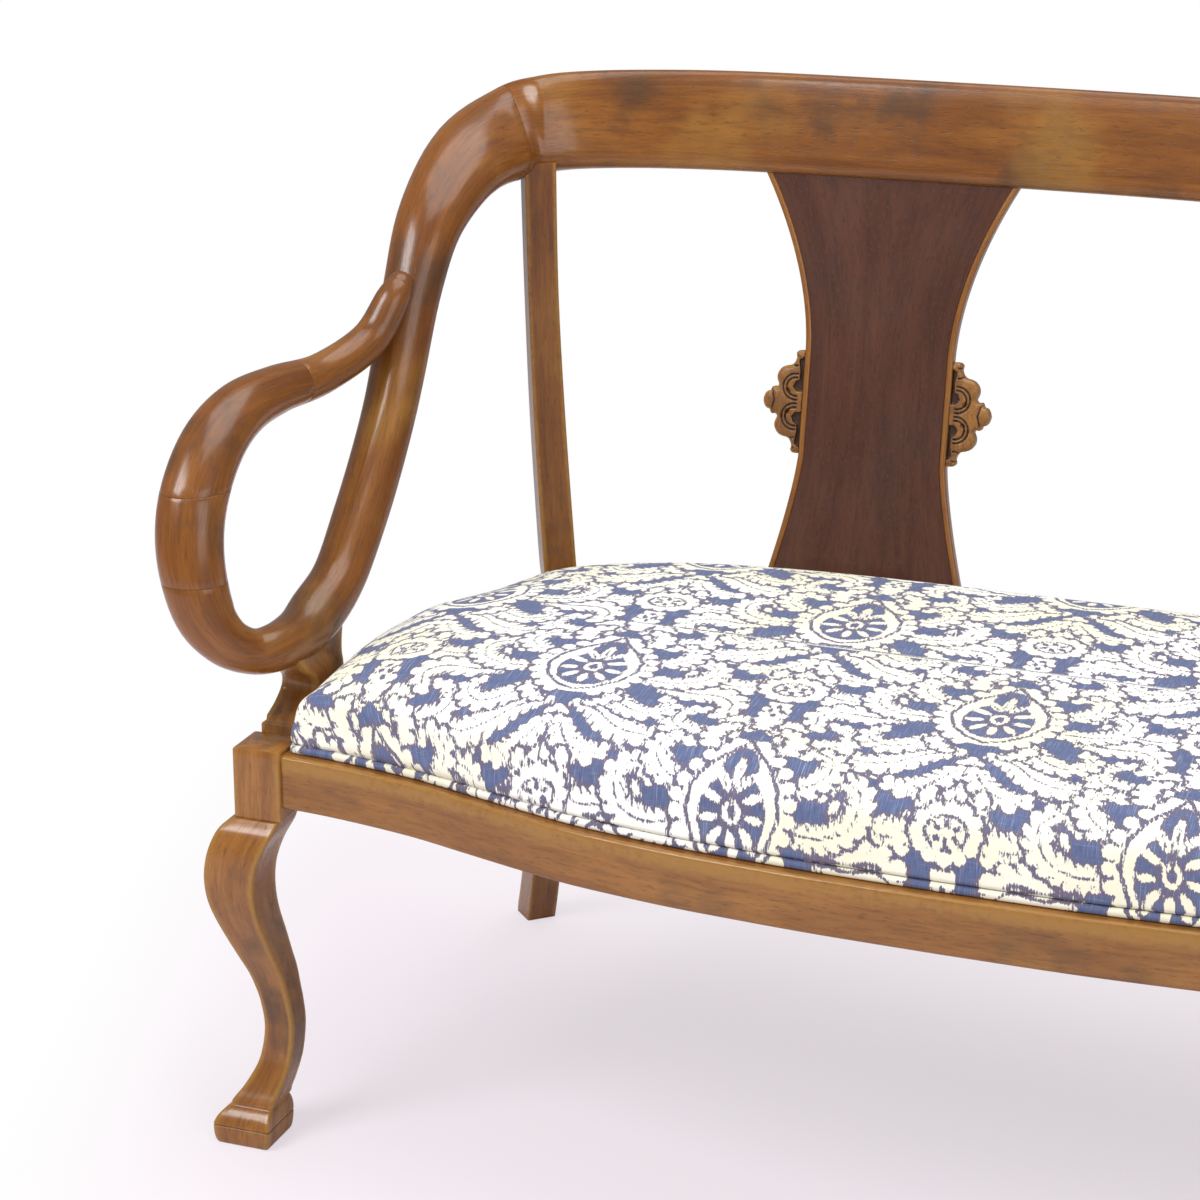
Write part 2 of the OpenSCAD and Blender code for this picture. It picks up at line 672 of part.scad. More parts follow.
module splat_ears() {
    reach = splat_waist_w / 2 + joint_gap;
    color("peru") for (m = [0, 1]) difference() {
        on_splat(-ear_t / 2, ear_t) mirror([m, 0]) translate([reach, ear_mid]) ear_outline();
        on_splat(splat_t / 4, ear_t) mirror([m, 0]) translate([reach, ear_mid])
            ear_pockets();
    }
}

// Plan of the upholstery: left half from the middle of the front to that of the back
seat_side_x = seat_w / 2 - welt_t - 2 * soft_gap;
seat_back_y = splat_foot_y - splat_t / 2 - 2 * veneer_t - welt_t - soft_gap
    - splat_foot_w / 2 * sin(splat_turn);
seat_turn_y = seat_d * 0.19;
seat_plan_half = concat(
    front_half(seat_side_x, seat_inset + welt_t, 1),
    [[-seat_side_x, side_front_y], [-seat_side_x, support_front_y + support_l],
    [-(side_out(0) - seat_inset), 0], [-(side_out(seat_turn_y) - seat_inset * 2.4), seat_turn_y],
    [-(post_x + post_w * 0.45), post_y - post_w * 1.2],
    [-(post_x - post_w * 0.48), post_y - post_w * 0.72],
    [-(post_x - post_w * 1.56), seat_back_y], [-splat_x - splat_waist_w, seat_back_y],
    [-splat_x, seat_back_y], [0, seat_back_y]]);
seat_plan = concat(seat_plan_half,
    [for (k = [len(seat_plan_half) - 2 : -1 : 1])
        [-seat_plan_half[k][0], seat_plan_half[k][1]]]);
seat_mid = [seat_w / 2 - seat_d / 2, (seat_back_y + rail_front_y) / 2 - front_bow / 3];
function drawn(p, t) =
    lerp(p, [max(-seat_mid[0], min(seat_mid[0], p[0])), seat_mid[1]], t);
// Share of the way to the middle that a width takes up
function way_share(w) = w / (seat_d / 2);
function seat_loop(t) = [for (p = seat_plan) drawn(p, t)];
// Share of its height that the seat loses toward a front corner
seat_corner_share = 0.19;
function beside(p) = min(1, abs(p[0]) / seat_side_x);
function droop(p) = (1 - seat_droop_share * pow(beside(p), 3.9)
    * pow(max(0, (p[1] - side_front_y) / (seat_back_y - side_front_y)), 2.3))
    * (1 - seat_corner_share * pow(beside(p), 8) * pow(max(0, min(1, p[1] / side_front_y)), 2));
function seat_ring(t, z) = [for (p = seat_loop(t)) [p[0], p[1], rail_top + z * droop(p)]];

// Crown of the seat: ways in from the edge as shares, and its roundness
crown_shares = [0, 0.014, 0.045, 0.10, 0.19, 0.32, 0.50, 0.72, 0.96];
crown_round = 3.35;
function crown(t) = seat_edge
    + (seat_crown - seat_edge) * pow(1 - pow(1 - t, crown_round), 1 / crown_round);
// Sides: heights as shares of the edge, and how far they are drawn in
side_shares = [[0.00, 0.006], [0.25, 0.000], [0.36, -0.009], [0.62, -0.009]];

function crown_rings(side, drop, floor) = concat(
    [for (s = side_shares) seat_ring(way_share(side) + s[1], max(floor, s[0] * seat_edge))],
    [for (t = crown_shares) seat_ring(lerp(way_share(side), 1, t) , crown(t)
        - drop * min(1, 0.25 + 8 * t))]);

module seat_cover() {
    outer = crown_rings(0, 0, soft_gap);
    inner = crown_rings(cover_t, cover_t, soft_gap);
    color("cornflowerblue") skin(concat(reversed(inner), outer));
}

foam_low = 2 * strap_t + 3 * soft_gap + strap_t / 2;

module seat_foam() {
    color("khaki") intersection() {
        skin(crown_rings(cover_t + soft_gap, cover_t + soft_gap, 0));
        translate([-seat_w / 2, -seat_d, rail_top + foam_low])
            cube([seat_w, 2 * seat_d, seat_crown]);
    }
}

module seat_welt() {
    color("aliceblue") translate([0, 0, rail_top + soft_gap]) linear_extrude(welt_h)
        difference() {
            polygon(seat_loop(-way_share(welt_t)));
            polygon(seat_loop(0));
        }
}

// Webbing, hessian and dust cover
module inner_plan() {
    polygon(seat_loop(way_share(cover_t + 2 * soft_gap)));
}

strap_pitch = 2 * strap_w;
long_straps = floor((seat_d * 0.9) / strap_pitch);
cross_straps = floor(seat_w * 0.9 / strap_pitch);

module long_webbing() {
    color("tan") translate([0, 0, rail_top]) linear_extrude(strap_t) intersection() {
        inner_plan();
        for (k = [0 : long_straps - 1])
            translate([0, seat_mid[1] + (k - (long_straps - 1) / 2) * strap_pitch])
                square([seat_w, strap_w], center = true);
    }
}

module cross_webbing() {
    color("tan") translate([0, 0, rail_top + strap_t]) linear_extrude(strap_t)
        intersection() {
            inner_plan();
            for (k = [0 : cross_straps - 1])
                translate([(k - (cross_straps - 1) / 2) * strap_pitch, 0])
                    square([strap_w, 2 * seat_d], center = true);
        }
}

module hessian() {
    color("wheat") translate([0, 0, rail_top + 2 * strap_t + soft_gap])
        linear_extrude(strap_t / 2) inner_plan();
}

module dust_cover() {
    color("dimgray") translate([0, 0, rail_low - soft_gap - strap_t / 2])
        linear_extrude(strap_t / 2) polygon(seat_loop(way_share(cover_t)));
}

module left_stile() { stile(); }
module right_stile() { mirror([1, 0, 0]) stile(); }
module left_scroll() { scroll(); }
module right_scroll() { mirror([1, 0, 0]) scroll(); }
module left_upper_arm() { upper_arm(); }
module right_upper_arm() { mirror([1, 0, 0]) upper_arm(); }
module left_arm_tip() { arm_tip(); }
module right_arm_tip() { mirror([1, 0, 0]) arm_tip(); }
module left_arm_support() { arm_support(); }
module right_arm_support() { mirror([1, 0, 0]) arm_support(); }
module left_front_leg() { front_leg(); }
module right_front_leg() { mirror([1, 0, 0]) front_leg(); }
module left_rear_leg() { rear_leg(); }
module right_rear_leg() { mirror([1, 0, 0]) rear_leg(); }
module left_side_rail() { side_rail(); }
module right_side_rail() { mirror([1, 0, 0]) side_rail(); }
module left_splat() { splat(); }
module right_splat() { mirror([1, 0, 0]) splat(); }
module left_splat_veneer() { splat_veneer(); }
module right_splat_veneer() { mirror([1, 0, 0]) splat_veneer(); }
module left_splat_banding() { splat_banding(); }
module right_splat_banding() { mirror([1, 0, 0]) splat_banding(); }
module left_splat_ears() { splat_ears(); }
module right_splat_ears() { mirror([1, 0, 0]) splat_ears(); }

crest_rail();
left_stile();
right_stile();
left_scroll();
right_scroll();
left_upper_arm();
right_upper_arm();
left_arm_tip();
right_arm_tip();
left_arm_support();
right_arm_support();
left_front_leg();
right_front_leg();
left_rear_leg();
right_rear_leg();
front_rail();
rear_rail();
left_side_rail();
right_side_rail();
corner_blocks();
corner_screws();
left_splat();
right_splat();
left_splat_veneer();
right_splat_veneer();
left_splat_banding();
right_splat_banding();
left_splat_ears();
right_splat_ears();
long_webbing();
cross_webbing();
hessian();
seat_foam();
seat_cover();
seat_welt();
dust_cover();
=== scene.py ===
"""Cabriole settee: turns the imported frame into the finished, upholstered piece."""
import logging
import math
from dataclasses import dataclass, field
from enum import Enum
from typing import Callable, Sequence

import bmesh
import bpy
import numpy as np
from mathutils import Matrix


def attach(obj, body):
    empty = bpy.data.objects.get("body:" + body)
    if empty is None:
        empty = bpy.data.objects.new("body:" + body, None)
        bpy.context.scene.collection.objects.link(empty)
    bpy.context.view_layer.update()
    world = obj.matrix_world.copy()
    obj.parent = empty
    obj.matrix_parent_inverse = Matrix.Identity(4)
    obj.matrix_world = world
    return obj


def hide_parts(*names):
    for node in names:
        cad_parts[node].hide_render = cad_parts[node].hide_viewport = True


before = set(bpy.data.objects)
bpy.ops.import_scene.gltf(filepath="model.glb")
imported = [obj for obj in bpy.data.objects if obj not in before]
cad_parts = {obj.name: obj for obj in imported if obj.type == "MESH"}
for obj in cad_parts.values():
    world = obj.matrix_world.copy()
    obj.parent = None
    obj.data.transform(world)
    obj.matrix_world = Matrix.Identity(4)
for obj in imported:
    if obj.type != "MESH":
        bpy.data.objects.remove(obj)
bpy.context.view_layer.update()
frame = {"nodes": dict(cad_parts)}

LOG = logging.getLogger("settee")
Piece = bpy.types.Object
Point = Sequence[float]
Place = tuple[float, float, float]
Ring = list[Place]


# curves
def smooth_row(table: Sequence[Sequence[float]], place: float) -> np.ndarray:
    """Reads a table on a smooth curve through its rows.

    Args:
        table: Rows of equal length.
        place: Rows from the table's start.

    Returns:
        The row at that place.
    """
    last = len(table) - 1
    first = min(math.floor(place), last - 1)
    share = place - first
    a, b, c, d = (np.array(table[max(0, min(last, first + k))], float) for k in (-1, 0, 1, 2))
    return b + share * ((c - a) / 2 + share * (a - 2.5 * b + 2 * c - d / 2
                                              + share * (1.5 * (b - c) + (d - a) / 2)))


def unit(vector: np.ndarray) -> np.ndarray:
    """Returns the vector with length 1."""
    return vector / np.linalg.norm(vector)


def steps(start: float, end: float, per_row: int) -> list[float]:
    """Returns even places from start to end, per_row of them to a row."""
    count = max(1, round((end - start) * per_row))
    return [start + (end - start) * k / count for k in range(count + 1)]


def run_along(points: Sequence[Point]) -> list[float]:
    """Returns the distance along a line of points at each of them."""
    gaps = np.linalg.norm(np.diff(np.array(points, float), axis=0), axis=1)
    return [0.0, *np.cumsum(gaps).tolist()]


def super_section(centre: np.ndarray, across: np.ndarray, out: np.ndarray, half: float,
                  thick: float, fullness: float, count: int) -> Ring:
    """Points round a rounded cross section.

    Args:
        centre: Middle of the section.
        across: Direction of its width.
        out: Direction of its thickness.
        half: Half of its width.
        thick: Half of its thickness.
        fullness: 2 for an ellipse, more for a boxier form.
        count: Number of points.

    Returns:
        The ring of points.
    """
    power = 2 / fullness
    ring = []
    for k in range(count):
        turn = 2 * math.pi * k / count
        c, s = math.cos(turn), math.sin(turn)
        point = (centre + across * half * math.copysign(abs(c) ** power, c)
                 + out * thick * math.copysign(abs(s) ** power, s))
        ring.append(tuple(point))
    return ring


# bench
class Bench:
    """Mesh work shared by the pieces."""

    @staticmethod
    def clear() -> None:
        """Deselects every object."""
        if bpy.context.object and bpy.context.object.mode != "OBJECT":
            bpy.ops.object.mode_set(mode="OBJECT")
        bpy.ops.object.select_all(action="DESELECT")

    @staticmethod
    def hold(piece: Piece) -> None:
        """Makes one piece the only selected and the active one."""
        Bench.clear()
        piece.select_set(True)
        bpy.context.view_layer.objects.active = piece

    @staticmethod
    def edit(piece: Piece, select: str = "SELECT") -> None:
        """Opens a piece in edit mode with all or none of it selected."""
        Bench.hold(piece)
        bpy.ops.object.mode_set(mode="EDIT")
        bpy.ops.mesh.select_all(action=select)

    @staticmethod
    def shut() -> None:
        """Turns all faces of the edited piece outwards and leaves edit mode."""
        bpy.ops.mesh.select_all(action="SELECT")
        bpy.ops.mesh.normals_make_consistent(inside=False)
        bpy.ops.object.mode_set(mode="OBJECT")

    @staticmethod
    def linked(name: str, data: bpy.types.ID) -> Piece:
        """Returns a new object in the scene that shows some data."""
        made = bpy.data.objects.new(name, data)
        bpy.context.collection.objects.link(made)
        return made

    @staticmethod
    def points(mesh: bpy.types.Mesh) -> np.ndarray:
        """Returns the places of a mesh's points."""
        found = np.empty(len(mesh.vertices) * 3)
        mesh.vertices.foreach_get("co", found)
        return found.reshape(-1, 3)

    @staticmethod
    def corners(mesh: bpy.types.Mesh) -> np.ndarray:
        """Returns the number of the point at each face corner of a mesh."""
        found = np.empty(len(mesh.loops), int)
        mesh.loops.foreach_get("vertex_index", found)
        return found

    @staticmethod
    def valued(mesh: bpy.types.Mesh, name: str, values: Sequence[float]) -> None:
        """Writes a value at each point of a mesh as an attribute."""
        mesh.attributes.new(name, "FLOAT", "POINT").data.foreach_set("value", values)

    @staticmethod
    def loft(name: str, rings: Sequence[Ring], lengths: Sequence[float], girth: float,
             wear_and_painted_light: Sequence[float] = ()) -> Piece:
        """Extrudes a circle ring by ring into a closed, capped form.

        Args:
            name: Name of the new piece.
            rings: Points of each ring, in order.
            lengths: Distance along the piece at each ring.
            girth: Distance round the piece, for its grain map.
            wear_and_painted_light: Share of edge wear at each point of a ring, if any; on the
                front rail's top arris it is also a painted highlight.

        Returns:
            The new piece, with a map named grain in metres.
        """
        Bench.clear()
        count = len(rings[0])
        bpy.ops.mesh.primitive_circle_add(vertices=count, radius=0.01)
        piece = bpy.context.object
        piece.name = piece.data.name = name
        bpy.ops.object.mode_set(mode="EDIT")
        mesh = bmesh.from_edit_mesh(piece.data)
        along = mesh.verts.layers.float.new("along")
        around = mesh.verts.layers.float.new("around")
        mesh.verts.ensure_lookup_table()
        for k, vert in enumerate(mesh.verts):
            vert.co = rings[0][k]
            vert[along], vert[around] = lengths[0], k / count
        bpy.ops.mesh.select_all(action="SELECT")
        bpy.ops.mesh.edge_face_add()
        for ring, length in zip(rings[1:], lengths[1:]):
            bpy.ops.mesh.extrude_region_move()
            mesh = bmesh.from_edit_mesh(piece.data)
            along = mesh.verts.layers.float["along"]
            around = mesh.verts.layers.float["around"]
            for vert in mesh.verts:
                if vert.select:
                    vert.co = ring[round(vert[around] * count) % count]
                    vert[along] = length
        Bench.shut()
        Bench.map_grain(piece, girth)
        if wear_and_painted_light:
            around = [a.value for a in piece.data.attributes["around"].data]
            Bench.valued(piece.data, "wear_and_painted_light", [wear_and_painted_light[round(a * count) % count] for a in around])
        return piece

    @staticmethod
    def map_grain(piece: Piece, girth: float) -> None:
        """Writes the grain map from the along and around values of a loft."""
        mesh = piece.data
        along = np.array([a.value for a in mesh.attributes["along"].data])
        around = np.array([a.value for a in mesh.attributes["around"].data])
        layer = mesh.uv_layers.new(name="grain")
        for face in mesh.polygons:
            turns = [around[v] for v in face.vertices]
            wrap = max(turns) - min(turns) > 0.5 and len(turns) <= 4
            for corner, vert, turn in zip(face.loop_indices, face.vertices, turns):
                turn = turn + 1 if wrap and turn < 0.5 else turn
                layer.data[corner].uv = (along[vert], turn * girth)

    @staticmethod
    def mirrored(piece: Piece, name: str) -> Piece:
        """Returns a copy with its own mesh, mirrored across the middle of the settee."""
        mesh = piece.data.copy()
        mesh.name = name
        mesh.vertices.foreach_set("co", (Bench.points(mesh) * (-1, 1, 1)).ravel())
        mesh.flip_normals()
        return Bench.linked(name, mesh)

    @staticmethod
    def copied(node: str, name: str) -> Piece:
        """Returns a merged copy of a frame node, with flat faces made whole."""
        mesh = frame["nodes"][node].data.copy()
        mesh.name = name
        copy = Bench.linked(name, mesh)
        Bench.edit(copy)
        bpy.ops.mesh.remove_doubles(threshold=0.00002)
        bpy.ops.mesh.dissolve_limited(angle_limit=math.radians(1))
        Bench.shut()
        return copy

    @staticmethod
    def applied(piece: Piece, kind: str, **settings: object) -> None:
        """Adds a modifier, sets it and applies it."""
        Bench.hold(piece)
        modifier = piece.modifiers.new(kind.lower(), kind)
        for key, value in settings.items():
            setattr(modifier, key, value)
        bpy.ops.object.modifier_apply(modifier=modifier.name)

    @staticmethod
    def eased(piece: Piece, width: float) -> None:
        """Rounds a piece's sharp edges by a small width."""
        Bench.applied(piece, "BEVEL", width=width, segments=2, limit_method="ANGLE",
                      angle_limit=math.radians(38), use_clamp_overlap=True)
        Bench.softened(piece, 34)

    @staticmethod
    def softened(piece: Piece, degrees: float) -> None:
        """Shades a piece smooth, but for edges sharper than an angle."""
        Bench.hold(piece)
        bpy.ops.object.shade_smooth_by_angle(angle=math.radians(degrees))

    @staticmethod
    def seat_piece(piece: Piece, finish: "Finish", *nodes: str) -> None:
        """Gives a piece its finish and its body, and hides the nodes that it stands for."""
        piece.data.materials.clear()
        piece.data.materials.append(finish.material())
        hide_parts(*nodes)
        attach(piece, "root")
        LOG.info("%s: %d faces", piece.name, len(piece.data.polygons))

    @staticmethod
    def seat_pair(left: Piece, finish: "Finish", node: str) -> None:
        """Mirrors a left piece and seats both for the left and the right node."""
        right = Bench.mirrored(left, left.name.replace("left", "right"))
        Bench.seat_piece(left, finish, f"left_{node}")
        Bench.seat_piece(right, finish, f"right_{node}")


# shader maths
def operator(kind: str, swapped: bool = False) -> Callable:
    """Returns a method that adds a Math node for two operands, swapped if asked."""
    def method(self: "Term", other: object) -> "Term":
        """Adds the node and returns its result."""
        pair = (other, self) if swapped else (self, other)
        return self.graph.node("ShaderNodeMath", {"operation": kind}, dict(enumerate(pair)))
    return method


class Term:
    """A socket in a material, on which plain arithmetic adds Math nodes."""

    __add__ = __radd__ = operator("ADD")
    __mul__ = __rmul__ = operator("MULTIPLY")
    __sub__ = operator("SUBTRACT")
    __rsub__ = operator("SUBTRACT", True)

    def __init__(self, graph: "Graph", socket: bpy.types.NodeSocket) -> None:
        """Wraps one output socket of a graph."""
        self.graph = graph
        self.socket = socket

    def __abs__(self) -> "Term":
        """Size without sign."""
        return self.graph.node("ShaderNodeMath", {"operation": "ABSOLUTE"}, {0: self})

    def __neg__(self) -> "Term":
        """Opposite sign."""
        return self * -1.0

    def ramp(self, low: float, high: float) -> "Term":
        """Maps low..high smoothly to 0..1 and holds both ends."""
        return self.graph.node("ShaderNodeMapRange", {"interpolation_type": "SMOOTHSTEP"},
                               {"Value": self, "From Min": low, "From Max": high})


class Graph:
    """Builds one material's node tree."""

    def __init__(self, name: str) -> None:
        """Starts an empty material with its output."""
        self.material = bpy.data.materials.new(name)
        self.material.use_nodes = True
        self.tree = self.material.node_tree
        self.tree.nodes.clear()
        self.output = self.tree.nodes.new("ShaderNodeOutputMaterial")

    def node(self, kind: str, settings: dict | None = None, sockets: dict | None = None,
             out: object = 0) -> Term:
        """Adds a node.

        Args:
            kind: The node's type.
            settings: Properties of the node, set first.
            sockets: Values or links of its inputs, by name or number.
            out: Which output to return.

        Returns:
            The chosen output as a term.
        """
        made = self.tree.nodes.new(kind)
        for key, value in (settings or {}).items():
            setattr(made, key, value)
        for key, value in (sockets or {}).items():
            if isinstance(value, Term):
                self.tree.links.new(value.socket, made.inputs[key])
            else:
                made.inputs[key].default_value = value
        return Term(self, made.outputs[out])

    def here(self) -> Term:
        """Adds the place on the object."""
        return self.node("ShaderNodeTexCoord", out="Object")

    def attribute(self, name: str) -> Term:
        """Adds a value that the piece holds at each point."""
        return self.node("ShaderNodeAttribute", {"attribute_name": name}, out="Fac")

    def mix(self, share: object, first: object, second: object) -> Term:
        """Mixes two colours by a share."""
        return self.node("ShaderNodeMix", {"data_type": "RGBA"},
                         {0: share, 6: first, 7: second}, out=2)

    def scaled(self, place: Term, scale: Point) -> Term:
        """Multiplies a place by a scale along each axis."""
        return self.node("ShaderNodeVectorMath", {"operation": "MULTIPLY"},
                         {0: place, 1: tuple(scale)})

    def noise(self, place: Term, scale: float, detail: float = 2.0, rough: float = 0.5,
              warp: float = 0.0) -> Term:
        """Adds a noise of a given scale, from 0 to 1."""
        return self.node("ShaderNodeTexNoise", {"noise_dimensions": "3D"},
                         {"Vector": place, "Scale": scale, "Detail": detail,
                          "Roughness": rough, "Distortion": warp})

    def bump(self, height: Term, distance: float, strength: float) -> Term:
        """Turns a height, times a distance in metres, into a normal."""
        return self.node("ShaderNodeBump", {}, {"Height": height, "Distance": distance,
                                               "Strength": strength})

    def ended(self, surface: Term) -> bpy.types.Material:
        """Ends the tree in a surface and returns the material."""
        self.tree.links.new(surface.socket, self.output.inputs["Surface"])
        return self.material

    def shade(self, sockets: dict) -> bpy.types.Material:
        """Ends the tree in one surface shader and returns the material."""
        return self.ended(self.node("ShaderNodeBsdfPrincipled", {}, sockets))


class Lay(Enum):
    """Where the grain of a wooden piece runs."""

    MAPPED = "map"
    ALONG_X = "x"
    ALONG_Y = "y"
    ALONG_Z = "z"

    @property
    def axis(self) -> int:
        """Number of the axis that the grain runs along."""
        return max(0, "xyz".find(self.value))


Colour = tuple[float, float, float, float]


@dataclass(frozen=True)
class Finish:
    """A named finish, built once for all the pieces that share it."""

    slot: str = "walnut"
    name: str = "finish"

    def build(self, g: Graph) -> bpy.types.Material:
        """Builds the material in its graph."""
        raise NotImplementedError

    def material(self) -> bpy.types.Material:
        """Returns the material, building it at first use."""
        label = f"{self.name}_finish"
        return bpy.data.materials.get(label) or self.build(Graph(label))


@dataclass(frozen=True)
class WoodFinish(Finish):
    """Stained, rubbed and varnished wood."""

    light: Colour = (0.262, 0.093, 0.015, 1)
    mid: Colour = (0.158, 0.049, 0.008, 1)
    dark: Colour = (0.050, 0.018, 0.006, 1)
    worn: Colour = (0.062, 0.032, 0.015, 1)
    gold: Colour = (0.340, 0.165, 0.030, 1)
    lay: Lay = Lay.MAPPED
    patch_scale: float = 8.0
    patch_share: float = 0.72
    gold_share: float = 0.52
    speckle: float = 0.0
    gloss_rough: float = 0.26
    coat: float = 0.26

    def build(self, g: Graph) -> bpy.types.Material:
        """Builds grain, pores, rubbed patches, worn edges with a painted highlight on some,
        painted shade in carved hollows and an uneven polish.
        """
        here = g.here()
        place = (g.node("ShaderNodeUVMap", {"uv_map": "grain"}) if self.lay is Lay.MAPPED
                 else here)

        def drawn_out(lengthwise: float, sideways: float, *settings: float) -> Term:
            """Noise at the place, drawn out along the grain."""
            scale = [sideways] * 3
            scale[self.lay.axis] = lengthwise
            return g.noise(g.scaled(place, scale), 1.0, *settings)

        patches = g.noise(here, self.patch_scale, 4.0, 0.62)
        aside = g.node("ShaderNodeVectorMath", {"operation": "ADD"}, {0: here, 1: (3.1, 7.7, 1.3)})
        rubbed = g.noise(aside, self.patch_scale * 0.8, 3.0, 0.6)
        cloud = drawn_out(3.0, 22.0, 3.0, 0.55, 0.5)
        bands = drawn_out(6.0, 130.0, 3.0, 0.6, 0.5)
        fibres = drawn_out(28.0, 620.0, 2.0, 0.6)
        pores = drawn_out(90.0, 1500.0, 1.0, 0.5).ramp(0.60, 0.70)
        tone = cloud * 0.55 + bands * 0.45
        body = g.mix(tone.ramp(0.36, 0.64), self.mid, self.light)
        body = g.mix(patches.ramp(0.50, 0.68) * self.patch_share, body, self.worn)
        body = g.mix(rubbed.ramp(0.52, 0.70) * self.gold_share, body, self.gold)
        body = g.mix(fibres.ramp(0.44, 0.66) * 0.26, body, self.dark)
        body = g.mix(pores * 0.40, body, self.dark)
        if self.speckle:
            flecks = drawn_out(210.0, 900.0, 1.0, 0.5)
            body = g.mix(flecks.ramp(0.56, 0.68) * self.speckle, body, self.light)
        wear_and_painted_light = g.attribute("wear_and_painted_light")
        chips = g.noise(here, 160.0, 3.0, 0.65)
        # Edge wear: lighter gold in patches where the value is positive; on the front rail's top
        # arris it is also a painted highlight.
        body = g.mix((wear_and_painted_light * (patches + chips - 0.42)).ramp(0.08, 0.62) * 0.85, body, self.gold)
        # Painted shade: negative values darken the carved ears' grooves, hollows and back.
        body = g.mix((-wear_and_painted_light).ramp(0.0, 0.7) * 0.9, body, self.dark)
        rough = self.gloss_rough + (patches - 0.5) * 0.22 + (fibres - 0.5) * 0.08
        height = fibres * 0.5 - pores * 0.5 + bands * 0.5
        return g.shade({"Base Color": body, "Roughness": rough,
                        "Coat Weight": self.coat, "Coat Roughness": 0.14,
                        "Specular IOR Level": 0.36,
                        "Normal": g.bump(height, 0.00020, 0.6)})


@dataclass(frozen=True)
class DamaskFinish(Finish):
    """Printed linen blend: the printed figure comes from the piece's own field."""

    cream: Colour = (0.87, 0.84, 0.66, 1)
    chalk: Colour = (0.93, 0.92, 0.86, 1)
    blue: Colour = (0.115, 0.145, 0.275, 1)
    pale_blue: Colour = (0.31, 0.37, 0.52, 1)
    deep_blue: Colour = (0.068, 0.086, 0.180, 1)
    rim: Colour = (0.175, 0.125, 0.160, 1)

    def build(self, g: Graph) -> bpy.types.Material:
        """Builds ragged print edges, slubs, weave and soft colour drift."""
        inked = g.attribute("figure")
        cloth = g.node("ShaderNodeUVMap", {"uv_map": "weave"})

        def threads(across: float, along: float, detail: float = 2.0) -> Term:
            """Noise drawn out along the cloth's own directions."""
            return g.noise(g.scaled(cloth, (across, along, 1.0)), 1.0, detail, 0.6)

        rag = threads(560.0, 120.0)
        crumb = threads(800.0, 420.0)
        edge = inked + (rag - 0.5) * 5.6 + (crumb - 0.5) * 2.2
        ink = edge.ramp(-0.3, 0.3)
        rim = 1.0 - abs(edge - 0.9).ramp(0.3, 1.5)
        slub_v = threads(1000.0, 30.0)
        slub_u = threads(30.0, 1000.0)
        slub = slub_v.ramp(0.54, 0.72) * 0.75 + slub_u.ramp(0.58, 0.76) * 0.5
        drift = g.noise(g.here(), 5.0, 2.0, 0.5)
        blue = g.mix(threads(700.0, 90.0).ramp(0.42, 0.64) * 0.55, self.blue, self.deep_blue)
        blue = g.mix(slub, blue, self.pale_blue)
        blue = g.mix(rim * 0.7, blue, self.rim)
        ground = g.mix(drift.ramp(0.35, 0.65), self.cream, self.chalk)
        colour = g.mix(ink, ground, blue)
        weave = threads(1500.0, 300.0, 1.0) + threads(300.0, 1500.0, 1.0)
        return g.shade({"Base Color": colour, "Roughness": 0.84,
                        "Specular IOR Level": 0.28, "Sheen Weight": 0.10,
                        "Normal": g.bump(weave + slub * 0.5, 0.00026, 0.5)})


@dataclass(frozen=True)
class PlainFinish(Finish):
    """A plain cloth, metal or raw wood with a little variation."""

    first: Colour = (0.5, 0.5, 0.5, 1)
    second: Colour = (0.4, 0.4, 0.4, 1)
    grain: Place = (300.0, 300.0, 300.0)
    rough: float = 0.7
    metal: float = 0.0

    def build(self, g: Graph) -> bpy.types.Material:
        """Builds a two-tone surface with a fine bump."""
        fine = g.noise(g.scaled(g.here(), self.grain), 1.0, 2.0, 0.6)
        return g.shade({"Base Color": g.mix(fine.ramp(0.35, 0.65), self.first, self.second),
                        "Roughness": self.rough, "Metallic": self.metal,
                        "Normal": g.bump(fine, 0.0004, 0.5)})


WALNUT = WoodFinish("walnut", "walnut_mapped")
WALNUT_X = WoodFinish("walnut", "walnut_x", lay=Lay.ALONG_X)
WALNUT_Y = WoodFinish("walnut", "walnut_y", lay=Lay.ALONG_Y)
LEG_WALNUT = WoodFinish("walnut", "walnut_leg", light=(0.350, 0.145, 0.030, 1),
                        mid=(0.225, 0.082, 0.017, 1), patch_scale=14.0, gold_share=0.6)
RAIL_WALNUT = WoodFinish("walnut", "walnut_rail", light=(0.335, 0.140, 0.026, 1),
                         mid=(0.215, 0.080, 0.013, 1), patch_scale=6.0, patch_share=0.50,
                         gold_share=0.45)
VENEER = WoodFinish("dark_veneer", "dark_veneer", light=(0.100, 0.033, 0.016, 1),
                    mid=(0.060, 0.018, 0.009, 1), dark=(0.018, 0.007, 0.005, 1),
                    worn=(0.050, 0.028, 0.020, 1), gold=(0.095, 0.040, 0.020, 1),
                    patch_share=0.35, gold_share=0.2, speckle=0.5, gloss_rough=0.34,
                    coat=0.25)
BANDING = WoodFinish("banding", "banding", light=(0.36, 0.150, 0.032, 1),
                     mid=(0.24, 0.090, 0.018, 1), patch_share=0.2)
CARVED = WoodFinish("carved_wood", "carved_wood", light=(0.33, 0.140, 0.034, 1),
                    mid=(0.20, 0.078, 0.017, 1), dark=(0.024, 0.011, 0.006, 1),
                    lay=Lay.ALONG_Z, patch_scale=40.0, patch_share=0.3, gloss_rough=0.40,
                    coat=0.15)
DAMASK = DamaskFinish("damask", "damask")
DUST_CLOTH = PlainFinish("dust_cloth", "dust_cloth", (0.016, 0.016, 0.017, 1),
                         (0.03, 0.03, 0.03, 1), rough=0.9)
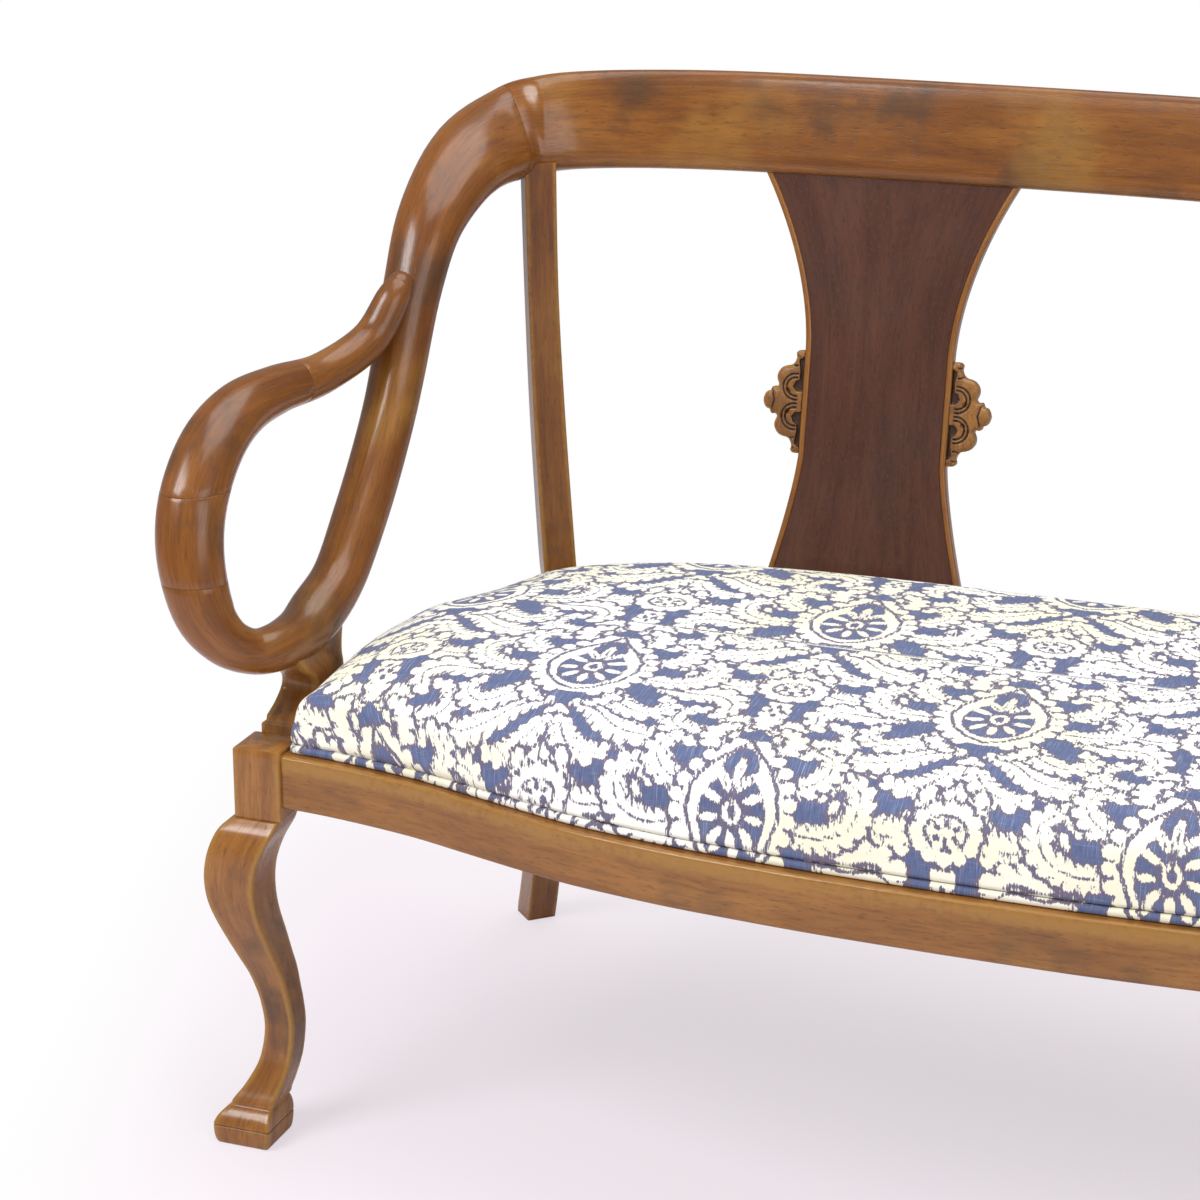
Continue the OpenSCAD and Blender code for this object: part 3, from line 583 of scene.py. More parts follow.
WEBBING = PlainFinish("webbing", "webbing", (0.42, 0.32, 0.18, 1), (0.28, 0.2, 0.11, 1))
HESSIAN = PlainFinish("hessian", "hessian", (0.45, 0.35, 0.2, 1), (0.32, 0.24, 0.13, 1))
RAW_WOOD = PlainFinish("block_wood", "block_wood", (0.46, 0.31, 0.16, 1),
                       (0.36, 0.23, 0.11, 1), (12.0, 12.0, 160.0))
STEEL = PlainFinish("screw_steel", "screw_steel", (0.45, 0.44, 0.42, 1),
                    (0.3, 0.29, 0.28, 1), rough=0.4, metal=1.0)


@dataclass
class BackFrame:
    """Crest rail, stiles, scrolls, arms and their tips, all on one swept path."""

    block_x: float = 0.6635
    block_y: float = -0.259
    block_top: float = 0.400
    crest_half: float = 0.626
    crest_h: float = 0.098
    crest_t: float = 0.030
    joint_t: float = 0.044
    crest_mid: Place = (0.0, 0.3451, 0.8817)
    crest_sweep: float = 0.105
    crest_drop: float = 0.0117
    lean: float = 13.0
    arm_face: Place = (0.32, -0.88, 0.34)
    arm_reach: float = 0.068
    stile_rise: float = 0.470
    stile_run: float = 0.4991
    widths: tuple[float, ...] = (0.049, 0.026, 0.031, 0.017)
    crest_rows: tuple = (
        (0.00, 0.00, 0.00, 1.00, 0.00, 5.0), (0.40, 0.09, 0.00, 1.00, 0.00, 5.0),
        (0.64, 0.20, 0.00, 1.00, 0.00, 4.6), (0.79, 0.39, 0.02, 0.99, 0.06, 4.2),
        (0.90, 0.62, 0.14, 0.98, 0.30, 3.8), (0.96, 0.80, 0.45, 0.97, 0.70, 3.4))
    arm_rows: tuple = (
        (0.00, 1.00, 1.000, 1.000, 0, 0.94, 0.48, 3.0, 0.4),
        (0.00, 0.55, 0.870, 0.969, 1, 1.58, 0.58, 2.4, 0.8),
        (0.00, 0.31, 0.730, 0.877, 1, 1.28, 0.74, 2.1, 1.0),
        (0.00, 0.23, 0.648, 0.751, 1, 1.10, 0.84, 1.9, 1.0),
        (0.00, 0.20, 0.574, 0.591, 1, 1.02, 0.90, 1.9, 1.0),
        (0.00, 0.20, 0.526, 0.508, 1, 1.00, 0.92, 1.9, 1.0),
        (0.00, 0.20, 0.462, 0.421, 1, 1.00, 0.92, 1.9, 1.0),
        (0.00, 0.20, 0.388, 0.336, 1, 1.00, 0.92, 1.9, 1.0),
        (0.00, 0.17, 0.298, 0.243, 1, 0.98, 0.94, 2.0, 1.0),
        (0.00, 0.09, 0.210, 0.196, 1, 1.02, 0.94, 2.1, 1.0),
        (0.00, 0.00, 0.144, 0.172, 2, 0.78, 1.00, 2.2, 1.0),
        (0.10, 0.00, 0.064, 0.168, 2, 0.71, 1.08, 2.2, 1.0),
        (0.30, 0.00, 0.022, 0.174, 2, 0.68, 1.10, 2.2, 1.0),
        (0.53, 0.00, -0.016, 0.208, 2, 0.76, 1.04, 2.2, 1.0),
        (0.76, 0.00, -0.032, 0.270, 2, 0.90, 0.94, 2.2, 1.0),
        (0.92, 0.00, -0.028, 0.372, 2, 0.98, 0.88, 2.2, 1.0),
        (0.98, 0.00, 0.004, 0.466, 2, 1.00, 0.86, 2.2, 1.0),
        (0.97, 0.00, 0.076, 0.553, 2, 0.96, 0.86, 2.2, 1.0),
        (0.88, 0.00, 0.168, 0.604, 2, 0.86, 0.88, 2.2, 1.0),
        (0.72, 0.00, 0.278, 0.619, 2, 0.73, 0.92, 2.2, 1.0),
        (0.46, 0.00, 0.398, 0.623, 3, 1.15, 0.96, 2.2, 1.0),
        (0.10, 0.00, 0.505, 0.668, 3, 1.06, 0.96, 2.2, 1.0),
        (0.00, 0.22, 0.552, 0.745, 3, 0.94, 0.96, 2.2, 1.0),
        (0.00, 0.31, 0.574, 0.772, 3, 0.72, 1.00, 2.2, 1.0))
    around: int = 44
    fine: int = 7
    middle: int = 1
    crest_joint: int = 7
    scroll_low: float = 21.56
    scroll_high: float = 23.28
    arm_joint: float = 26.5
    tip: int = 30
    joints: tuple = ((crest_joint, (0.47, 0.88, -0.163), 2.6, 1.3),
                     (scroll_low, (0, 0, 1), 0.9, 0.9), (scroll_high, (0, 0, 1), 0.9, 0.9))
    nose_turns: tuple[float, ...] = (14, 28, 42, 56, 68, 79)
    crest_girth: float = 0.26
    arm_girth: float = 0.13
    tip_girth: float = 0.1
    end_ease: float = 0.0007
    path: list = field(default_factory=list)

    def __post_init__(self) -> None:
        """Sets the path's rows from the sizes."""
        face = np.array([0, -math.cos(math.radians(self.lean)),
                         math.sin(math.radians(self.lean))])
        turned = unit(np.array(self.arm_face))
        rows = [[-s[0] * self.crest_half, self.crest_mid[1] - s[1] * self.crest_sweep,
                 self.crest_mid[2] - s[2] * self.crest_drop, s[3] * self.crest_h / 2,
                 (self.crest_t + (self.joint_t - self.crest_t) * s[4]) / 2, s[5], *face]
                for s in self.crest_rows]
        rows.insert(0, [-rows[1][0], *rows[1][1:]])
        for s in self.arm_rows:
            half = self.widths[s[4]] * s[5]
            way = unit(face + (turned - face) * s[8])
            rows.append([-self.block_x - s[0] * self.arm_reach
                         + s[1] * (self.block_x - self.crest_half),
                         self.block_y + s[2] * self.stile_run,
                         self.block_top + s[3] * self.stile_rise,
                         half, half * s[6], s[7], *way])
        self.path = rows

    def point(self, u: float) -> np.ndarray:
        """Returns the middle of the path at a place."""
        return smooth_row(self.path, max(0, min(self.tip, u)))[:3]

    def way(self, u: float) -> np.ndarray:
        """Returns the direction of the path at a place."""
        return unit(self.point(u + 0.02) - self.point(u - 0.02))

    def ring(self, u: float) -> Ring:
        """Returns the section of the path at a place, turned to a joint's plane near it."""
        row = smooth_row(self.path, u)
        way = self.way(u)
        across = unit(np.cross(way, row[6:9]))
        ring = np.array(super_section(row[:3], across, np.cross(way, across), row[3], row[4],
                                      row[5], self.around))
        for place, normal, before, after in self.joints:
            share = max(0.0, 1 - abs(u - place) / (before if u < place else after))
            if share:
                shift = (row[:3] - ring) @ np.array(normal) / (way @ np.array(normal))
                ring = ring + way * shift[:, None] * share
        return [tuple(point) for point in ring]

    def stretch(self, start: float, end: float) -> tuple[list[Ring], list[float]]:
        """Returns the sections from one place to another and the distance at each."""
        places = steps(start, end, self.fine)
        return [self.ring(u) for u in places], run_along([self.point(u) for u in places])

    def finished(self, piece: Piece) -> Piece:
        """Eases the flat ends of a sweep and shades it."""
        Bench.edit(piece, "DESELECT")
        bpy.ops.mesh.select_mode(type="FACE")
        bpy.ops.mesh.select_face_by_sides(number=5, type="GREATER")
        bpy.ops.mesh.region_to_loop()
        bpy.ops.mesh.bevel(offset=self.end_ease, segments=2, affect="EDGES")
        bpy.ops.object.mode_set(mode="OBJECT")
        Bench.softened(piece, 40)
        return piece

    def crest(self) -> None:
        """Builds the crest rail from joint to joint."""
        half, run = self.stretch(self.middle, self.crest_joint)
        rings = [[(-x, y, z) for x, y, z in ring] for ring in half[:0:-1]] + half
        lengths = [-s for s in run[:0:-1]] + run
        piece = self.finished(Bench.loft("crest_board", rings, lengths, self.crest_girth))
        Bench.seat_piece(piece, WALNUT, "crest_rail")

    def tip_piece(self) -> Piece:
        """Builds the arm's tip, with a round nose that laps onto the stile."""
        rings, lengths = self.stretch(self.arm_joint, self.tip)
        way, middle = self.way(self.tip), self.point(self.tip)
        nose, last, run = self.path[self.tip][3], rings[-1], lengths[-1]
        for turn in map(math.radians, self.nose_turns):
            rings.append([tuple(middle + (np.array(q) - middle) * math.cos(turn)
                                + way * nose * math.sin(turn)) for q in last])
            lengths.append(run + nose * math.sin(turn))
        return self.finished(Bench.loft("left_tip", rings, lengths, self.tip_girth))

    def build(self) -> None:
        """Builds the crest and both arms."""
        self.crest()
        parts = {"stile": (self.crest_joint, self.scroll_low),
                 "scroll": (self.scroll_low, self.scroll_high),
                 "upper_arm": (self.scroll_high, self.arm_joint)}
        for name, (start, end) in parts.items():
            left = Bench.loft(f"left_{name}_sweep", *self.stretch(start, end), self.arm_girth)
            Bench.seat_pair(self.finished(left), WALNUT, name)
        Bench.seat_pair(self.tip_piece(), WALNUT, "arm_tip")


def square_ring(x: float, y: float, z: float, half: tuple[float, float], ease: float,
                tilt: float = 0.0) -> Ring:
    """Points round a nearly level square with rounded corners.

    Args:
        x: Middle along X.
        y: Middle along Y.
        z: Height.
        half: Half widths along X and Y.
        ease: Radius of the corners.
        tilt: Rise towards +Y, per metre.

    Returns:
        The ring: five points to a corner and four along each side.
    """
    corners = []
    for k, (sx, sy) in enumerate(((1, -1), (1, 1), (-1, 1), (-1, -1))):
        corners.append([(sx * (half[0] - ease) + ease * math.cos(math.radians(a)),
                         sy * (half[1] - ease) + ease * math.sin(math.radians(a)))
                        for a in np.linspace(90 * k - 90, 90 * k, 5)])
    ring = []
    for k, corner in enumerate(corners):
        ring += corner
        (ax, ay), (bx, by) = corner[-1], corners[(k + 1) % 4][0]
        ring += [(ax + (bx - ax) * t, ay + (by - ay) * t) for t in (0.14, 0.38, 0.62, 0.86)]
    return [(x + a, y + b, z + b * tilt) for a, b in ring]


SQUARE_WEAR = ([1.0] * 5 + [0.0] * 4) * 4


@dataclass
class Underframe:
    """Legs, rails, arm supports and the blocks that join them."""

    rail_top: float = 0.396
    rail_h: float = 0.051
    rail_t: float = 0.026
    front_y: float = -0.2785
    bow: float = 0.089
    half_w: float = 0.640
    block: Place = (BackFrame.block_x, BackFrame.block_y, 0.0235)
    block_top: float = BackFrame.block_top
    leg_h: float = 0.332
    knee_out: float = 0.020
    foot_out: float = 0.018
    foot_h: float = 0.045
    post: Place = (0.5725, 0.2355, 0.033)
    foot_kick: float = 0.066
    foot_splay: float = 0.056
    support: Place = (0.6615, -0.23535, 0.122)
    support_w: float = 0.038
    plinth_h: float = 0.012
    ease: float = 0.0022
    leg_rows: tuple = (
        (1.000, 0.14, 1.00), (0.970, 0.42, 1.15), (0.920, 0.74, 1.13), (0.865, 0.92, 1.09),
        (0.813, 0.95, 1.06), (0.756, 0.86, 1.02), (0.700, 0.66, 0.96), (0.633, 0.34, 0.89),
        (0.566, 0.01, 0.80), (0.512, -0.26, 0.73), (0.452, -0.47, 0.67), (0.407, -0.60, 0.65),
        (0.346, -0.71, 0.64), (0.286, -0.69, 0.65), (0.226, -0.56, 0.69))
    foot_rows: tuple = (
        (1.22, -0.24, 0.79), (1.00, -0.02, 0.87), (0.90, 0.06, 0.91), (0.85, 0.09, 0.89),
        (0.82, 0.11, 0.90), (0.78, 0.15, 0.97), (0.72, 0.20, 1.05), (0.60, 0.28, 1.16),
        (0.47, 0.33, 1.22), (0.44, 0.33, 1.21), (0.425, 0.33, 1.17), (0.41, 0.33, 1.21),
        (0.38, 0.33, 1.22), (0.20, 0.32, 1.20), (0.06, 0.30, 1.15), (0.00, 0.29, 1.09))
    plinth_rows: tuple = (
        (0, 0.02, 1, 0.02, 0.5), (0, 0.86, 1, 0.86, 0.5), (0.004, 0.96, 0.996, 0.96, 0.495),
        (0.02, 1.00, 0.98, 1.00, 0.48), (0.055, 1.02, 0.945, 1.04, 0.455))
    support_rows: tuple = (
        (0.08, 1.30, 0.92, 1.40, 0.50), (0.22, 1.90, 0.85, 2.40, 0.50),
        (0.33, 2.80, 0.83, 3.80, 0.49), (0.32, 3.80, 0.83, 4.60, 0.46),
        (0.20, 4.80, 0.88, 5.80, 0.40), (0.12, 6.20, 0.97, 7.60, 0.33),
        (0.10, 7.00, 1.00, 8.80, 0.30))
    rear_rows: tuple = (
        (0.00, 1.00, 0.97), (0.08, 0.87, 0.97), (0.17, 0.74, 0.98), (0.33, 0.44, 0.99),
        (0.52, 0.19, 1.00), (0.76, 0.03, 1.00), (1.00, 0.00, 1.00))
    post_rows: tuple = ((0.10, 0.16, 1.02), (0.40, 0.58, 0.98), (0.70, 0.87, 0.93),
                        (1.00, 1.00, 0.96))
    cants: tuple[float, float] = (44.0, 31.0)
    post_joint: float = 0.58
    sole: float = 0.0002
    rail_ease: float = 0.0032
    worn_highlight_above: float = 0.015
    side_ease: float = 0.0016
    girths: tuple[float, ...] = (0.19, 0.2, 0.13, 0.154)
    bow_rows: tuple = ((0.00, 1.00), (0.17, 0.985), (0.31, 0.93), (0.38, 0.89),
                       (0.455, 0.82), (0.53, 0.73), (0.61, 0.58), (0.697, 0.40),
                       (0.784, 0.22), (0.87, 0.10), (0.94, 0.03), (1.00, 0.00))

    def front_leg(self) -> Piece:
        """Builds the block, knee, shank and grooved foot of the left front leg."""
        x, y, half = self.block
        top, low = self.block_top, self.leg_h
        levels = [(top, 0.002), (top - 0.0006, 0.0006), (top - 0.002, 0),
                  *((z, 0) for z in np.linspace(top - 0.012, low + 0.006, 7)),
                  (low + 0.0012, 0), (low + 0.0004, 0.0006)]
        rings = [square_ring(-x, y, z, (half - inset,) * 2, self.ease) for z, inset in levels]
        rows = [(s[0] * self.leg_h, s[1], s[2]) for s in self.leg_rows]
        rows += [(s[0] * self.foot_h, s[1], s[2]) for s in self.foot_rows]
        for u in steps(0, len(rows) - 1, 5):
            z, swing, wide = smooth_row(rows, u)
            out = self.foot_out * (1 - z / self.leg_h)
            rings.append(square_ring(-x - swing * self.knee_out - out,
                                     y - swing * self.knee_out, max(0.0, z),
                                     (wide * half, wide * half), self.ease * 1.15))
        lengths = [top - ring[0][2] for ring in rings]
        return Bench.loft("left_front_leg_form", rings, lengths, self.girths[0], SQUARE_WEAR)

    def bracket(self) -> Piece:
        """Builds the vase shaped bracket on its plinth, with its neck inside the arm."""
        x, front, length = self.support

        def level(row: Sequence[float], ease: float) -> Ring:
            """One ring, from its front and back places and its width."""
            ya, yb = front + row[0] * length, front + row[2] * length
            za, zb = row[1] * self.plinth_h, row[3] * self.plinth_h
            return square_ring(-x, (ya + yb) / 2, self.rail_top + (za + zb) / 2,
                               (row[4] * self.support_w, (yb - ya) / 2), ease,
                               (zb - za) / (yb - ya))

        rings = [level(row, 0.001) for row in self.plinth_rows]
        rings += [level(smooth_row(self.support_rows, u), 0.0035)
                  for u in steps(0, len(self.support_rows) - 1, 5)]
        lengths = [ring[0][2] for ring in rings]
        return Bench.loft("left_bracket", rings, lengths, self.girths[1], SQUARE_WEAR)

    def rear_leg(self, back: BackFrame) -> Piece:
        """Builds the rear leg and post in one length, canted as it rises.

        Args:
            back: The back, whose crest the post runs up into.

        Returns:
            The left rear leg.
        """
        px, py, width = self.post
        place = back.crest_joint - self.post_joint
        row = smooth_row(back.path, place)
        across = unit(np.cross(back.way(place), row[6:9]))
        top = row[:3] - across * row[3]
        rows = [(-px - s[1] * self.foot_splay, py + s[1] * self.foot_kick,
                 s[0] * self.rail_top, s[2]) for s in self.rear_rows]
        rows += [(-px + (top[0] + px) * s[1], py + (top[1] - py) * s[1],
                  self.rail_top + (top[2] + back.crest_h / 8 - self.rail_top) * s[0], s[2])
                 for s in self.post_rows]
        places = steps(0, len(rows) - 1, 5)
        line = [smooth_row(rows, u) for u in places]
        rings = []
        for u, here in zip(places, line):
            ahead, behind = (smooth_row(rows, min(len(rows) - 1, max(0, u + d)))
                             for d in (0.02, -0.02))
            way = unit((ahead - behind)[:3])
            cant = math.radians(self.cants[0] + (self.cants[1] - self.cants[0])
                                * min(1, here[2] / self.rail_top))
            side = unit(np.cross(way, (math.sin(cant), -math.cos(cant), 0)))
            out = np.cross(way, side)
            half = width / 2 * here[3]
            flat = square_ring(0, 0, 0, (half, half), self.ease * 0.8)
            ring = [here[:3] + side * a + out * b for a, b, _ in flat]
            rings.append([(q[0], q[1], max(self.sole, q[2]) if u else 0.0) for q in ring])
        return Bench.loft("left_rear_leg_form", rings, run_along([p[:3] for p in line]),
                          self.girths[2], SQUARE_WEAR)

    def front_rail(self) -> Piece:
        """Builds the bowed front rail with its rounded top edge."""
        half_t, centre = self.rail_t / 2, self.rail_top - self.rail_h / 2
        flat = square_ring(0, 0, 0, (half_t, self.rail_h / 2), self.rail_ease)
        # Edge wear and a painted highlight along the top front arris only.
        wear_and_painted_light = [float(a < -half_t + self.rail_ease + 0.0002 and b > self.worn_highlight_above)
                for a, b, _ in flat]
        half = [smooth_row(self.bow_rows, u) for u in steps(0, len(self.bow_rows) - 1, 6)]
        curve = [(-s[0] * self.half_w, -s[1] * self.bow) for s in half[::-1]]
        curve += [(-x, y) for x, y in curve[-2::-1]]
        rings = [[(x, self.front_y + y + half_t + a, centre + b) for a, b, _ in flat]
                 for x, y in curve]
        return Bench.loft("bowed_front_rail", rings, run_along(curve), self.girths[3], wear_and_painted_light)

    def build(self) -> None:
        """Builds the legs, brackets and rails."""
        for name, left, finish in (("front_leg", self.front_leg(), LEG_WALNUT),
                                   ("arm_support", self.bracket(), LEG_WALNUT),
                                   ("rear_leg", self.rear_leg(BackFrame()), WALNUT)):
            Bench.softened(left, 32)
            Bench.seat_pair(left, finish, name)
        rail = self.front_rail()
        Bench.softened(rail, 32)
        Bench.seat_piece(rail, RAIL_WALNUT, "front_rail")
        for name, finish in (("left_side_rail", WALNUT_Y), ("right_side_rail", WALNUT_Y),
                             ("rear_rail", WALNUT_X)):
            piece = Bench.copied(name, f"{name}_eased")
            Bench.eased(piece, self.side_ease)
            Bench.seat_piece(piece, finish, name)


@dataclass
class Splats:
    """The vase splats: core, dark veneer, light bead and carved ears."""

    splat_x: float = 0.250
    foot_y: float = 0.2330
    foot_z: float = Underframe.rail_top
    lean: float = 11.81
    turn: float = 3.28
    length: float = 0.4475
    top_w: float = 0.252
    waist_w: float = 0.149
    foot_w: float = 0.226
    thick: float = 0.012
    veneer_t: float = 0.0012
    bead_w: float = 0.006
    ear_reach: float = 0.040
    ear_h: float = 0.102
    ear_rows: tuple = (
        (0.00, 1.00), (0.16, 1.00), (0.23, 0.94), (0.21, 0.86), (0.25, 0.77), (0.33, 0.71),
        (0.45, 0.69), (0.56, 0.65), (0.65, 0.56), (0.68, 0.46), (0.65, 0.37), (0.62, 0.31),
        (0.67, 0.26), (0.75, 0.27), (0.80, 0.24), (0.82, 0.18), (0.89, 0.17), (0.96, 0.11),
        (1.00, 0.00))
    past_top: float = 0.012
    core_ease: float = 0.0012
    veneer_gap: float = 0.0003
    veneer_sunk: float = 0.0004
    board_girth: float = 0.45
    bead_girth: float = 0.02
    voxel: float = 0.00075
    groove_depth: float = 0.0022
    clover_depth: float = 0.0018
    eye_depth: float = 0.0030
    eye: Place = (0.36, 0.0105, 0.0028)
    edge_drop: float = 0.0026
    edge_width: float = 0.0042
    swell: float = 0.0012
    grooves: tuple = ((0.17, 0.29, 0.0092, 0.0011), (0.17, 0.29, 0.0130, 0.0011),
                      (0.19, 0.80, 0.0050, 0.0010))

    @property
    def axes(self) -> tuple[np.ndarray, np.ndarray, np.ndarray]:
        """Width, height and forward directions of the left splat."""
        c, s = math.cos(math.radians(self.turn)), math.sin(math.radians(self.turn))
        cl, sl = math.cos(math.radians(self.lean)), math.sin(math.radians(self.lean))
        spin = np.array([[c, -s, 0], [s, c, 0], [0, 0, 1]])
        return (spin @ np.array([1, 0, 0]), spin @ np.array([0, sl, cl]),
                spin @ np.array([0, -cl, sl]))

    def placed(self, a: float, v: float, w: float) -> Place:
        """Returns the place at a width, height and forward distance on the left splat."""
        wide, up, forward = self.axes
        return tuple(np.array([-self.splat_x, self.foot_y, self.foot_z])
                     + wide * a + up * v + forward * w)

    def half(self, v: float) -> float:
        """Returns half of the splat's width at a height."""
        low = (self.length - self.ear_h) / 2
        high = (self.length + self.ear_h) / 2
        if v < low:
            return (self.waist_w + (self.foot_w - self.waist_w) * (1 - v / low) ** 1.35) / 2
        if v > high:
            share = min(1.03, (v - high) / (self.length - high))
            return (self.waist_w + (self.top_w - self.waist_w) * share ** 1.85) / 2
        return self.waist_w / 2

    def board(self, name: str, inset: float, back: float, front: float,
              ease: float) -> Piece:
        """Builds a flat piece of the splat as rings of points up its height.

        Args:
            name: Name of the piece.
            inset: Distance in from the splat's sides.
            back: Forward distance of its back face.
            front: Forward distance of its front face.
            ease: Radius of its long edges.

        Returns:
            The piece on the left splat.
        """
        heights = np.linspace(0, self.length + self.past_top, 64)
        rings = []
        for v in heights:
            flat = square_ring(0, 0, 0, (self.half(v) - inset, (front - back) / 2), ease)
            rings.append([self.placed(a, v, (front + back) / 2 + b) for a, b, _ in flat])
        return Bench.loft(name, rings, heights, self.board_girth)

    def bead(self, side: int) -> Piece:
        """Builds the light rounded bead along one side of the left splat."""
        heights = np.linspace(0.0005, self.length + self.past_top, 90)
        middle = np.array([[side * (self.half(v) - self.bead_w / 2), v] for v in heights])
        way = np.gradient(middle, axis=0)
        way /= np.linalg.norm(way, axis=1)[:, None]
        section = [(math.cos(math.pi * k / 8) * self.bead_w * 0.5,
                    self.thick / 2 + math.sin(math.pi * k / 8) * self.veneer_t * 1.75)
                   for k in range(16)]
        rings = [[self.placed(a + reach * dv, v - reach * da, out) for reach, out in section]
                 for (a, v), (da, dv) in zip(middle, way)]
        return Bench.loft("left_bead_part", rings, heights, self.bead_girth)

    def ears(self) -> Piece:
        """Builds the two carved ears: rounded lobes, sunk scrolls and incised arcs, with painted
        shade in the grooves and on every face set back from the ear's front.
        """
        piece = Bench.copied("left_splat_ears", "left_ears_carved")
        Bench.applied(piece, "REMESH", mode="VOXEL", voxel_size=self.voxel)
        mesh = piece.data
        points = Bench.points(mesh)
        wide, up, forward = self.axes
        local = points - np.array([-self.splat_x, self.foot_y, self.foot_z])
        a, v, w = np.abs(local @ wide), local @ up - self.length / 2, local @ forward
        p, q = a - self.waist_w / 2, np.abs(v)
        outline = np.array([smooth_row(self.ear_rows, u)
                            for u in steps(0, len(self.ear_rows) - 1, 6)])
        outline = outline * (self.ear_reach, self.ear_h / 2)
        near = np.min(np.hypot(p[:, None] - outline[:, 0], q[:, None] - outline[:, 1]), axis=1)

        def arc(cx: float, cy: float, radius: float, width: float) -> np.ndarray:
            """Share of a groove's depth along an arc, placed in shares of the ear."""
            cx, cy = cx * self.ear_reach, cy * self.ear_h / 2
            off = np.abs(np.hypot(p - cx, q - cy) - radius)
            return np.clip(1 - off / width, 0, 1) ** 0.8 * (p > cx - 0.002)

        front = np.clip((w - 0.001) / 0.0045, 0, 1)
        round_off = self.edge_drop * np.clip(1 - near / self.edge_width, 0, 1) ** 2
        grooves = self.groove_depth * np.maximum.reduce([arc(*row) for row in self.grooves])
        slant = np.abs(p - (0.70 + 7 * q) * self.ear_reach)
        clover = self.clover_depth * np.clip(1 - slant / 0.0011, 0, 1) * (q < 0.011)
        across, up_eye, radius = self.eye
        off = np.hypot(p - across * self.ear_reach, q - up_eye) / radius
        eye = self.eye_depth * np.clip(1 - off, 0, 1) ** 0.5
        swell = self.swell * np.sin(np.clip(near / 0.009, 0, 1) * math.pi / 2)
        sink = (round_off + np.maximum(grooves, clover) + eye - swell) * front
        points -= forward[None] * sink[:, None]
        mesh.vertices.foreach_set("co", points.ravel())
        # Painted shade darkens the grooves and clover cuts; the lighter rims near the outline are
        # worn edges.
        shade = np.clip(1.4 * np.clip(1 - np.abs(near - 0.0012) / 0.0016, 0, 1)
                        - 900 * np.maximum(grooves, clover), -1, 1) * front
        # Painted shade: every face set back behind the ear's front (hollows, side walls and back)
        # is made fully dark.
        shade = np.where((w < 0.0052) & (near > 0.0012), -1.0, shade)
        Bench.valued(mesh, "wear_and_painted_light", shade)
        mesh.update()
        Bench.applied(piece, "SMOOTH", factor=0.4, iterations=2)
        return piece

    def build(self) -> None:
        """Builds both splats, layer by layer."""
        face, sunk = self.thick / 2, self.veneer_sunk
        core = self.board("left_splat_core", 0, -face, face, self.core_ease)
        veneer = self.board("left_veneer_face", self.bead_w + self.veneer_gap, face - sunk,
                            face + self.veneer_t, sunk)
        beads, other = self.bead(1), self.bead(-1)
        Bench.hold(beads)
        other.select_set(True)
        bpy.ops.object.join()
        beads.name = beads.data.name = "left_beads"
        for left, finish, node, degrees in ((core, WALNUT, "splat", 34),
                                            (veneer, VENEER, "splat_veneer", 34),
                                            (beads, BANDING, "splat_banding", 50),
                                            (self.ears(), CARVED, "splat_ears", 70)):
            Bench.softened(left, degrees)
            Bench.seat_pair(left, finish, node)


@dataclass(frozen=True)
class Leaf:
    """A lobed leaf of the damask, from its tip to its root, in millimetres."""

    spine: tuple
    width: float = 14.0
    lobe: float = 9.0
    tip: float = 0.4
    root: float = 0.8
    vein: float = 0.0
    dots: tuple = ()


